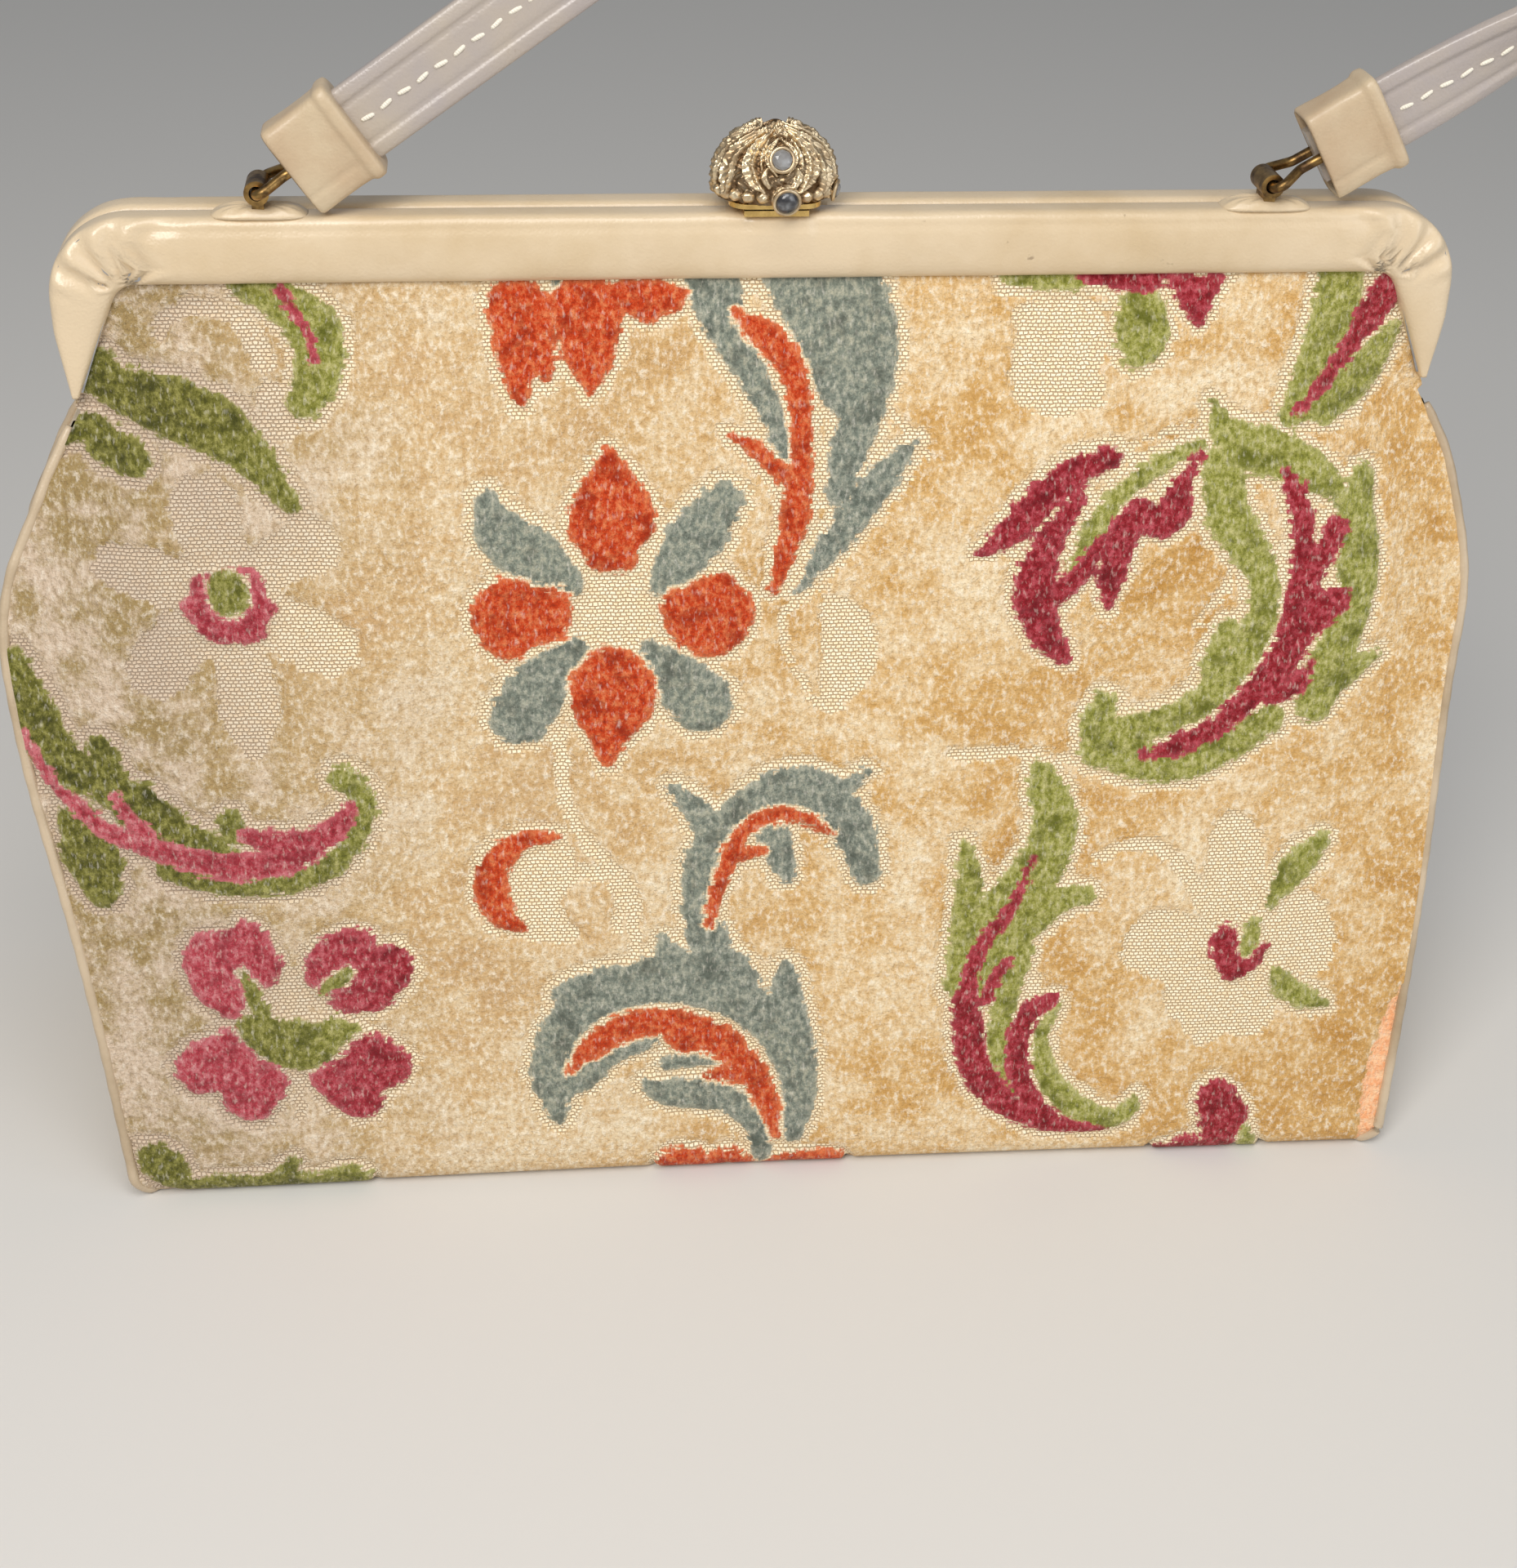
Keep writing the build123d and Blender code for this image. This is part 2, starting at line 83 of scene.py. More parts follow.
world = bpy.data.worlds.new("studio")
bpy.context.scene.world = world
world.use_nodes = True
sky = world.node_tree.nodes["Background"]
sky.inputs["Color"].default_value = (0.86, 0.89, 0.93, 1)
sky.inputs["Strength"].default_value = 0.32

SENSOR = 36.0
FOCAL_LENGTH = 54.75
EYE = (-0.060, -0.4824, 0.3622)
YAW = -7.22
PITCH = 30.78
ROLL = -1.76
eye = bpy.data.cameras.new("camera")
eye.sensor_width = SENSOR
eye.lens = FOCAL_LENGTH
camera = bpy.data.objects.new("camera", eye)
camera.matrix_world = (
    Matrix.Translation(EYE)
    @ Matrix.Rotation(math.radians(YAW), 4, "Z")
    @ Matrix.Rotation(math.radians(90 - PITCH), 4, "X")
    @ Matrix.Rotation(math.radians(-ROLL), 4, "Z")
)
bpy.context.scene.collection.objects.link(camera)
bpy.context.scene.camera = camera
bpy.context.scene.view_settings.view_transform = "Standard"


def shade(code):
    """Linear colour of an sRGB hex code: each channel under the sRGB curve."""
    channels = [int(code[i : i + 2], 16) / 255 for i in (1, 3, 5)]
    linear = [c / 12.92 if c <= 0.04045 else ((c + 0.055) / 1.055) ** 2.4 for c in channels]
    return (*linear, 1.0)


def finish(name, colour, roughness, metallic=0.0):
    """A new material with its shader's plain settings, and that shader node."""
    material = bpy.data.materials.new(name)
    material.use_nodes = True
    shader = material.node_tree.nodes["Principled BSDF"]
    shader.inputs["Base Color"].default_value = shade(colour)
    shader.inputs["Roughness"].default_value = roughness
    shader.inputs["Metallic"].default_value = metallic
    return material, shader


def add(material, kind, inputs, **settings):
    """Adds one node. Settings are its properties, and inputs give each socket a value or a link."""
    tree = material.node_tree
    node = tree.nodes.new(kind)
    for key, value in settings.items():
        setattr(node, key, value)
    for socket, value in inputs.items():
        if isinstance(value, bpy.types.NodeSocket):
            tree.links.new(value, node.inputs[socket])
        else:
            node.inputs[socket].default_value = value
    return node


def blend_colours(material, share, first, second):
    """The colour output that goes from the first colour to the second with a share from 0 to 1."""
    node = add(material, "ShaderNodeMix", {0: share, 6: first, 7: second}, data_type="RGBA")
    return node.outputs[2]


def ramp(material, value, low, high):
    """The share from 0 to 1 that rises evenly while a value goes from low to high."""
    node = add(material, "ShaderNodeMapRange", {"Value": value, "From Min": low, "From Max": high})
    return node.outputs[0]


def sum_of(material, first, factor, second):
    """First times a factor, plus second."""
    node = add(material, "ShaderNodeMath", {0: first, 1: factor, 2: second}, operation="MULTIPLY_ADD")
    return node.outputs[0]


def speckle(material, place, scale, detail, rough=0.5):
    """Noise from 0 to 1 at a place, with this many lumps to a unit of length."""
    node = add(
        material, "ShaderNodeTexNoise",
        {"Vector": place, "Scale": scale, "Detail": detail, "Roughness": rough},
    )
    return node.outputs["Fac"]


def feed(material, shader, socket, output):
    """Links an output to one of the shader's sockets."""
    material.node_tree.links.new(output, shader.inputs[socket])


def roughen(material, shader, height, strength, distance):
    """Bumps the shader's surface by a height from 0 to 1, which stands for a distance in metres."""
    bump = add(
        material, "ShaderNodeBump", {"Height": height, "Strength": strength, "Distance": distance}
    )
    feed(material, shader, "Normal", bump.outputs[0])


def object_place(material):
    """The place on a piece, in metres."""
    return add(material, "ShaderNodeTexCoord", {}).outputs["Object"]


table_finish, _ = finish("matt_table_paint", "#DDDAD5", 0.7)
table.data.materials.append(table_finish)

# ------------------------------------------------------------------ carpet cloth
# Woven carpet cloth: a cut golden-beige pile with coloured motifs in longer pile, each
# outlined by cream flat weave, which also fills the pale flowers. One strip makes the front,
# the base and the back, and its top edges are gripped by the two frame leaves.

MM = 0.001
HINGE_Z = 1000 * frame["joints"][0]["pos_m"][2]
leaf_low, leaf_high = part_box("cover_front")
BAND_Z = 1000 * leaf_high.z - 14.0       # lower edge of the vinyl band
HINGE_HALF = 145.0
WIDEST_HALF = 160.6
WIDEST_Z = 133.0
BASE_HALF = 144.2
BASE_CORNER = 6.0
NECK = 6.2               # cloth's outer face inside the channel
BELLY_Z = 95.0
BELLY = 31.5
FOOT = 54.5
BASE_EDGE = 4.5
TUCK = 2.2               # cloth hidden inside the channel
LEAN = 3.3               # how far the belly leans to the left
LEAN_Z = 112.0
LEAN_REACH = 42.0
TURNED_OUT = 0.025       # share of the distance from the middle that an end of the foot swings out
TURNED_IN = 0.003
THREAD = 1.1             # pitch of the pile rows
GROUND_PILE = 0.9
MOTIF_PILE = 1.3


def rounded_line(corners, radii, step=1.0):
    """Points along a line of straight runs whose corners are arcs of the given radii."""
    corners = [np.array(c, float) for c in corners]
    line = [corners[0]]
    for before, corner, after, radius in zip(corners, corners[1:], corners[2:], radii):
        back = (before - corner) / np.linalg.norm(before - corner)
        on = (after - corner) / np.linalg.norm(after - corner)
        half = math.acos(np.clip(back @ on, -1, 1)) / 2
        middle = (back + on) / np.linalg.norm(back + on)
        centre = corner + middle * radius / math.sin(half)
        start = corner + back * radius / math.tan(half) - centre
        end = corner + on * radius / math.tan(half) - centre
        turn = math.pi - 2 * half
        for share in np.linspace(0, 1, max(3, int(radius * turn / step))):
            way = start * math.sin((1 - share) * turn) + end * math.sin(share * turn)
            line.append(centre + way / math.sin(turn))
    line.append(corners[-1])
    return np.array(line)


def evenly(line, count):
    """The same line as a count of points at equal distances along it."""
    reach = np.concatenate([[0], np.cumsum(np.linalg.norm(np.diff(line, axis=0), axis=1))])
    places = np.linspace(0, reach[-1], count)
    return np.stack([np.interp(places, reach, column) for column in line.T], 1)


side_line = rounded_line(
    [(HINGE_HALF - 1.5, HINGE_Z), (HINGE_HALF + 6, HINGE_Z - 14), (WIDEST_HALF, WIDEST_Z),
     (BASE_HALF, 0), (0, 0)],
    [40, 50, BASE_CORNER],
    step=0.5,
)
edge_line = rounded_line(
    [(NECK, BAND_Z + TUCK), (NECK, HINGE_Z), (BELLY, BELLY_Z), (FOOT, 0), (0, 0)],
    [25, 150, BASE_EDGE],
)


def half_width(z):
    """Half width of the bag at a height: the side line below the hinge, the frame's slope above."""
    below = np.interp(z, side_line[::-1, 1], side_line[::-1, 0])
    above = HINGE_HALF - (z - HINGE_Z) * 0.36
    return np.where(z > HINGE_Z, above, below)


def ease(share):
    """Smooth step from 0 to 1."""
    share = np.clip(share, 0, 1)
    return share * share * (3 - 2 * share)


def slump(z):
    """How far the soft bag leans to the left at a height: 3 mm at its belly, fading both ways."""
    return -LEAN * np.exp(-(((z - LEAN_Z) / LEAN_REACH) ** 2)) * ease((HINGE_Z - 8 - z) / 26)


def swing(x, z, face):
    """How far the foot is turned, as a shift in depth: mostly outwards at one end of each face."""
    ahead = -face * x
    return face * np.where(ahead > 0, TURNED_OUT, TURNED_IN) * ahead * ease(1 - z / 110)


def rounded(points, closed, rounds=2):
    """Cuts each corner of a line at a quarter of its sides, which makes it a smooth curve."""
    line = np.array(points, float)
    for _ in range(rounds):
        after = np.roll(line, -1, axis=0) if closed else line[1:]
        before = line if closed else line[:-1]
        cut = np.stack([0.75 * before + 0.25 * after, 0.25 * before + 0.75 * after], 1)
        cut = cut.reshape(-1, line.shape[1])
        line = cut if closed else np.concatenate([line[:1], cut, line[-1:]])
    return line


def stroke_depth(across, down, points):
    """How far a place lies inside a stroke: its half width there less the distance to its middle."""
    line = rounded(points, False)
    depth = np.full(across.shape, -9.0)
    for (x0, s0, w0), (x1, s1, w1) in zip(line, line[1:]):
        square = (x1 - x0) ** 2 + (s1 - s0) ** 2 + 1e-9
        share = np.clip(((across - x0) * (x1 - x0) + (down - s0) * (s1 - s0)) / square, 0, 1)
        gap = np.hypot(across - x0 - share * (x1 - x0), down - s0 - share * (s1 - s0))
        depth = np.maximum(depth, w0 + share * (w1 - w0) - gap)
    return depth


def patch_depth(across, down, points):
    """Distance to a closed outline, above 0 inside it. A place is inside if a ray crosses it oddly."""
    line = rounded(points, True, 1)
    gap = np.full(across.shape, 99.0)
    inside = np.zeros(across.shape, bool)
    for (x0, s0), (x1, s1) in zip(line, np.roll(line, -1, axis=0)):
        square = (x1 - x0) ** 2 + (s1 - s0) ** 2 + 1e-9
        share = np.clip(((across - x0) * (x1 - x0) + (down - s0) * (s1 - s0)) / square, 0, 1)
        near = np.hypot(across - x0 - share * (x1 - x0), down - s0 - share * (s1 - s0))
        gap = np.minimum(gap, near)
        rise = s1 - s0 if s1 != s0 else 1e-9
        inside ^= ((s0 > down) != (s1 > down)) & (across < x0 + (down - s0) * (x1 - x0) / rise)
    return np.where(inside, gap, -gap)


def motif_depth(across, down, shapes):
    """The deepest of several strokes and patches, each worked out only near itself."""
    depth = np.full(across.shape, -9.0)
    for points in shapes:
        span = np.array(points)
        low, high = span[:, :2].min(0) - 10, span[:, :2].max(0) + 10
        near = (across > low[0]) & (across < high[0]) & (down > low[1]) & (down < high[1])
        measure = stroke_depth if span.shape[1] == 3 else patch_depth
        depth[near] = np.maximum(depth[near], measure(across[near], down[near], points))
    return depth


# The print as drawn on the cloth, in mm: first how far right of the middle, then how far down
# from the frame. A stroke's third number is its half width there, and a patch is an outline.
ORANGE = [
    [(-60, 0), (-46, 0), (-45, 18), (-47, 22), (-50, 19), (-52, 27), (-55, 25), (-58.5, 12)],
    [(-48, 0), (-30, 0), (-32, 14), (-35, 20), (-38, 25), (-41, 21), (-45, 14)],
    [(-38, 0), (-17, 0), (-19, 7), (-23, 7), (-26, 10), (-30, 7), (-35, 8)],
    [(-8, 7, 1), (-1, 12, 3.5), (4, 18, 3), (6, 28, 2.5), (6, 38, 2.3), (5, 45, 3.2), (4.5, 52, 3),
     (2.5, 58, 2.5), (0, 66, 1.2)],
    [(-9.5, 32.5, 0.8), (-5, 34, 1.8), (1.5, 40.5, 2)],
    [(-35, 33), (-31, 39), (-25.5, 46), (-25, 52), (-29, 57), (-30, 61), (-40, 61), (-41, 57),
     (-44.5, 52), (-43.5, 46), (-38.5, 39)],
    [(-66, 70), (-62, 63), (-56, 61), (-50, 64), (-44, 64.5), (-43, 70), (-45, 76), (-51, 77),
     (-56, 81), (-62, 78)],
    [(-3, 70), (-8, 63), (-12, 60.5), (-17, 64), (-24, 65.5), (-24.5, 70), (-22, 77), (-16, 80),
     (-10, 80), (-6, 76)],
    [(-36.7, 107), (-40, 99), (-44.5, 92), (-44.5, 85), (-41, 80), (-38, 77.5), (-31, 77.5),
     (-27, 82), (-24.8, 88), (-28, 95), (-33, 100)],
    [(-48, 120.5, 1.2), (-56, 121, 2.5), (-62, 126, 3.5), (-63, 133, 4), (-60, 139, 3.2),
     (-56.5, 141, 1.8)],
    [(-14, 142.5, 1.2), (-13, 136, 1.8), (-10, 127, 2.2), (-7, 121, 2), (-2, 117, 1.8),
     (6.5, 117, 1.8), (13, 121.5, 1)],
    [(-10, 127, 1.5), (-3, 125.5, 1.5)],
    [(-46, 177, 0.8), (-43, 172.5, 2.6), (-37, 168, 3.4), (-31, 165.5, 3.5), (-24, 165.5, 3.5),
     (-18, 168, 4), (-12, 171, 4), (-6, 177, 3.5), (-2, 184, 3), (0, 190, 2.2), (1, 196, 1.2)],
    [(-24, 169, 1.5), (-21, 172, 2), (-16, 171.5, 2)],
    [(-15, 180, 1), (-12, 179.5, 1.8), (-7, 180, 2.5)],
    [(-24, 202, 3), (-19, 200.5, 3.2), (-16, 203, 3)],
    [(-14, 203, 2.5), (-10, 200.5, 2.8), (-6, 204, 2)],
    [(0, 204, 2), (4, 202, 2.4), (15, 203.5, 2.5)],
]
SLATE = [
    [(-44, 0, 2.4), (-44.2, 8, 1.4)],
    [(-13, 0, 6), (-9, 12, 4.5), (-2, 24, 3.2), (2, 36, 2.4), (4, 41, 0.8)],
    [(5, 0, 7), (9, 12, 5), (12, 26, 1.6)],
    [(17, 0, 6), (21, 12, 6.5), (20, 24, 5.2), (16, 36, 4.5), (14, 45, 3)],
    [(11, 0, 4), (13, 14, 3.4), (14.5, 28, 2)],
    [(31, 34.5, 0.8), (24, 41, 3.8), (18, 49, 4), (12, 57, 3.2), (5, 66.5, 0.8)],
    [(-61, 44.5, 2.2), (-58, 52, 6), (-51.5, 57, 6.6), (-44.5, 63, 4)],
    [(-10.5, 46, 4.2), (-16, 53, 6.6), (-21, 59.5, 5.2), (-24.5, 64, 2.8)],
    [(-43, 78, 3.4), (-50, 85, 6.8), (-55, 92.5, 6.8)],
    [(-27, 79, 3), (-21, 85, 6.6), (-15.5, 90.5, 6.8)],
    [(-22, 110, 1.6), (-15, 117, 4), (-14, 122, 3)],
    [(-14, 148, 5), (-17, 138, 4.2), (-15, 125, 5), (-6, 116, 5), (3, 110, 5.4), (12, 112, 5),
     (19, 122, 5), (21, 131, 3.5)],
    [(14, 112, 2.5), (21, 107.5, 1.4)],
    [(0, 122, 4.5), (3, 131, 2.6)],
    [(-48, 192), (-52, 188), (-55, 181), (-55.5, 174), (-53, 166), (-49, 160), (-51, 157),
     (-46, 153.5), (-38, 151), (-31, 150.5), (-26.5, 148), (-25, 143), (-21.5, 147), (-17, 149),
     (-8, 148), (-4, 153), (-1, 161), (0.5, 154), (3, 151), (6, 153), (7, 160), (9, 168),
     (10.5, 176), (10.5, 184), (9, 192), (6, 198), (2.5, 198), (2, 190), (2, 182), (-2, 174),
     (-5, 170), (-10, 166), (-16, 163), (-24, 161), (-33, 162), (-40, 165), (-45, 171), (-45, 176),
     (-38, 171), (-29, 167.5), (-25, 169), (-26, 172), (-32, 174), (-37, 177), (-40, 181),
     (-46, 184)],
    [(-25, 177, 1.6), (-18, 174.5, 3), (-11, 175, 2.5)],
    [(-29, 181, 1.6), (-24, 184, 3.8), (-18, 184, 4.2), (-12, 185, 4), (-7, 188, 3.5),
     (-3, 194, 2.5), (-2, 203, 2.5)],
]
GREEN = [
    [(-109, 0, 2.5), (-99, 4, 5), (-93.5, 11, 6), (-94, 19, 5), (-97, 24, 4)],
    [(-142, 20, 3), (-129, 24, 6.5), (-118, 27, 7), (-110, 33, 5), (-104, 41, 3.2), (-101, 45, 2.2)],
    [(-139, 33, 4.6), (-133, 36, 4)],
    [(-148, 32, 2.5), (-141, 30, 3.5)],
    [(-138, 15, 2), (-137, 20, 4.5)],
    [(-161, 78, 2.5), (-159, 87, 5.5), (-156, 96, 5.5), (-150, 103, 5)],
    [(-144, 97, 3), (-143, 106, 5)],
    [(-138, 110, 6), (-132, 115, 5), (-125, 119, 4), (-119, 121, 3)],
    [(-150, 114, 5), (-148, 122, 7), (-146, 130, 4)],
    [(-132, 125, 3), (-120, 129, 3), (-110, 129, 2.6), (-100, 127, 3), (-93, 121, 3),
     (-88.5, 113, 2.6), (-90, 107, 3), (-94, 104.5, 3)],
    [(-118, 114, 3), (-117, 117, 3)],
    [(-118, 149, 1), (-116, 153, 2), (-115, 158, 2.2), (-113, 162, 2.5)],
    [(-99, 154, 1.8), (-96, 151.5, 2.2), (-94.5, 150, 1.4)],
    [(-120.5, 162), (-118, 159.5), (-114, 159), (-110, 160.5), (-107, 160.5), (-104, 161.5),
     (-101, 161.5), (-98.5, 160), (-95, 161.5), (-91, 164.5), (-95, 167), (-98, 170), (-101, 173),
     (-106, 174), (-111, 172.5), (-115, 170), (-118, 166.5)],
    [(-145, 191), (-141, 190), (-135, 192), (-133, 195), (-133, 199), (-130, 200), (-127, 199),
     (-120, 199), (-116, 199), (-112, 196), (-109, 194.5), (-107.5, 196.5), (-108.5, 199.5),
     (-104, 200), (-98, 197.5), (-93, 199), (-91, 203), (-95, 206), (-130, 206), (-143, 200)],
    [(50, 0, 2.5), (64, 0, 4)],
    [(79, 8, 5.6), (79, 13, 6.4), (78, 16, 4)],
    [(122, 0, 5), (122, 14, 7), (118, 24, 6.5), (112, 31.5, 2.4)],
    [(136, 12, 2), (130, 22, 5), (120, 28, 5)],
    [(93, 36, 1.6), (81.5, 41, 2.5), (74, 47, 2.5), (69, 54, 3), (64.5, 64.5, 1.4)],
    [(73, 53, 1.2), (71, 56, 2)],
    [(95, 27, 0.8), (99, 36, 5), (108, 38, 6), (117, 42, 5), (123, 46, 3)],
    [(98, 41, 5), (99, 52, 5.5), (103, 57, 5), (108, 64, 3.8), (109, 72, 3.8), (107, 80, 4),
     (102, 88, 4), (95, 95, 4), (86, 99, 3.5), (78, 101, 5), (74, 104, 5.4)],
    [(101, 77, 2.6), (98, 86, 3)],
    [(130, 44, 3.2), (128, 52, 5), (130, 60, 5.5), (130, 70, 5), (127, 80, 5), (124, 88, 6),
     (122, 95, 4.6)],
    [(137, 84.5, 1.2), (128, 88, 4)],
    [(112, 98, 3.8), (100, 106, 4.5), (90, 109, 4.5), (80, 107, 5), (73, 100, 5)],
    [(74, 94, 3.4), (72, 99, 4)],
    [(59, 107, 1.8), (61, 112, 4.4), (64, 119, 5.6), (63, 127, 6), (58, 136, 6.4), (53, 143, 8),
     (50, 151, 8), (49, 158, 7)],
    [(43, 125, 1.6), (45, 133, 3.4), (44, 142, 3.5), (43, 151, 3), (41.5, 160, 2.4)],
    [(58, 145, 5), (63, 141, 4), (68, 138.5, 3.4), (72, 139, 2.4)],
    [(57, 152, 3.6), (55, 160, 3), (53, 168, 3.2), (52.5, 176, 3.5), (54.5, 183, 3.2), (59, 188.5, 2)],
    [(66.5, 165.5, 1.3), (63, 171, 2), (62.5, 178, 2.5), (64.5, 184, 3), (68.5, 189, 3.5),
     (74, 193, 3.5), (80, 195, 2.6), (84.5, 192, 2.6), (86, 189, 1.2)],
    [(115, 142, 1.5), (117, 138, 3), (121, 133, 4.4), (126, 128, 2.6)],
    [(117, 159, 2), (120, 163, 3.5), (125, 166, 3), (130, 167.5, 1.2)],
    [(111, 147, 2), (110.5, 151, 2.6)],
    [(112, 198, 1.6), (114, 205, 2.5)],
]
RASPBERRY = [
    [(-101, 1.5, 1.2), (-98, 6, 1.2), (-95.5, 11, 1.2), (-95, 15.5, 0.9)],
    [(-126, 66), (-122.5, 63.5), (-123, 60), (-118, 58.5), (-112, 58), (-108, 60.5), (-107.5, 64),
     (-104.5, 67), (-107, 70), (-108, 74), (-113, 75), (-118, 75), (-122, 73), (-123, 70)],
    [(-160, 94, 0.8), (-156, 104, 1.5), (-150, 111, 1.8), (-143, 117, 2.2), (-135, 120, 2.8),
     (-126, 123, 3), (-118, 124.5, 3.4), (-108, 124, 3), (-101, 121, 2.6)],
    [(-115, 117, 1.8), (-108, 119.5, 3.2), (-100, 119, 3.4), (-95, 116, 2.5), (-92, 111.5, 1.4)],
    [(-142, 107.5, 1), (-140, 112, 1.8), (-136, 117, 2.5)],
    [(-131, 147), (-129, 141), (-123, 139.5), (-121, 140), (-117, 136), (-113, 138.5), (-110, 144),
     (-108.5, 149), (-112, 153.5), (-115, 153), (-117, 156), (-119, 160), (-122, 160.5),
     (-127, 157), (-130, 152)],
    [(-105, 150), (-103, 144), (-99, 141), (-93, 139.5), (-89, 141), (-88, 146), (-86, 144.5),
     (-83, 143.5), (-80, 149), (-80.5, 153), (-84, 157.5), (-89, 161), (-94, 161), (-100, 158),
     (-97, 156), (-103, 154.5)],
    [(-135, 173), (-132.5, 168), (-128, 165.5), (-124, 163.5), (-120.5, 162.5), (-118.5, 167),
     (-114, 171), (-109.5, 173.5), (-109, 176.5), (-111, 181), (-114, 184.5), (-118, 186),
     (-122, 184), (-124.5, 181), (-124, 178), (-127, 179), (-131, 179)],
    [(-105.5, 175), (-102, 173), (-98, 171.5), (-95, 168), (-92, 165), (-88, 166.5), (-84, 170),
     (-81, 173), (-82.5, 177), (-86, 179.5), (-89, 180.5), (-88, 183), (-90, 186), (-94, 187),
     (-98, 184.5), (-102, 180.5)],
    [(67, 0, 2.2), (80, 0, 4)],
    [(83, 0), (98, 0), (95, 4), (93.5, 8), (92, 12), (89, 9), (86, 5)],
    [(133, 4, 3.6), (131, 8, 4), (127, 14, 2.5), (122.5, 20.5, 2), (114, 29.5, 1.2)],
    [(73, 38, 2.4), (65, 41, 3.5), (58, 47, 4), (51, 54, 3.4), (45, 58.5, 1)],
    [(66, 47, 2), (60, 55, 3), (57, 63, 4.5), (57, 70, 5), (60, 78, 3.6), (64.5, 83, 1.6)],
    [(71, 57, 2), (67, 64, 2.5), (62, 68, 3)],
    [(93, 38, 1), (88, 45, 2.5), (88, 51, 4), (83, 53, 4), (79, 49, 3), (76, 55, 3.5),
     (74, 64, 3.5), (73.5, 71, 1.2)],
    [(112, 43, 1.5), (115, 48, 3), (117, 56, 2.5), (117, 65, 3), (118, 72, 5), (116, 80, 4),
     (112, 88, 4), (106, 94, 3), (100, 100, 2.5), (92, 104, 2.5), (84, 106, 1.2)],
    [(124, 55, 2.8), (119, 65, 3)],
    [(125.5, 71, 3.2), (120, 75, 4)],
    [(120.5, 85, 0.9), (118, 91, 2.4), (112, 93, 2)],
    [(59, 129, 0.8), (57, 135, 1.3), (54, 142, 1.5), (50, 147, 1.9), (46.5, 152, 2), (45.5, 158, 2),
     (44.5, 163, 3), (45, 168, 3.8), (46, 176, 4), (49, 184, 4), (55, 190, 3.2), (62, 194, 3),
     (70, 196, 2), (79, 197.2, 0.7)],
    [(55, 153.5, 0.9), (51, 158, 1.7), (49.5, 163, 2)],
    [(65.5, 164, 1.4), (60, 167, 2.5), (57, 172, 3), (57, 179, 2.8), (58, 184, 2.8), (61, 190, 2.5),
     (66, 194, 2)],
    [(101, 153), (102, 148), (106, 146), (108, 149), (108.5, 153), (111, 155), (113, 150),
     (116, 152), (113, 157), (109, 161), (104, 160)],
    [(100, 188), (104, 184), (108, 187), (112, 191), (113.5, 195), (111, 198), (110, 206),
     (101, 206), (102, 199), (100, 193)],
    [(93, 204, 2), (100, 202.5, 2.8)],
]
PEACH = [[(149, 163), (151, 168), (150, 180), (148.5, 192), (146, 203), (140.5, 205), (140, 195),
          (141, 185), (143.5, 175), (146, 168)]]
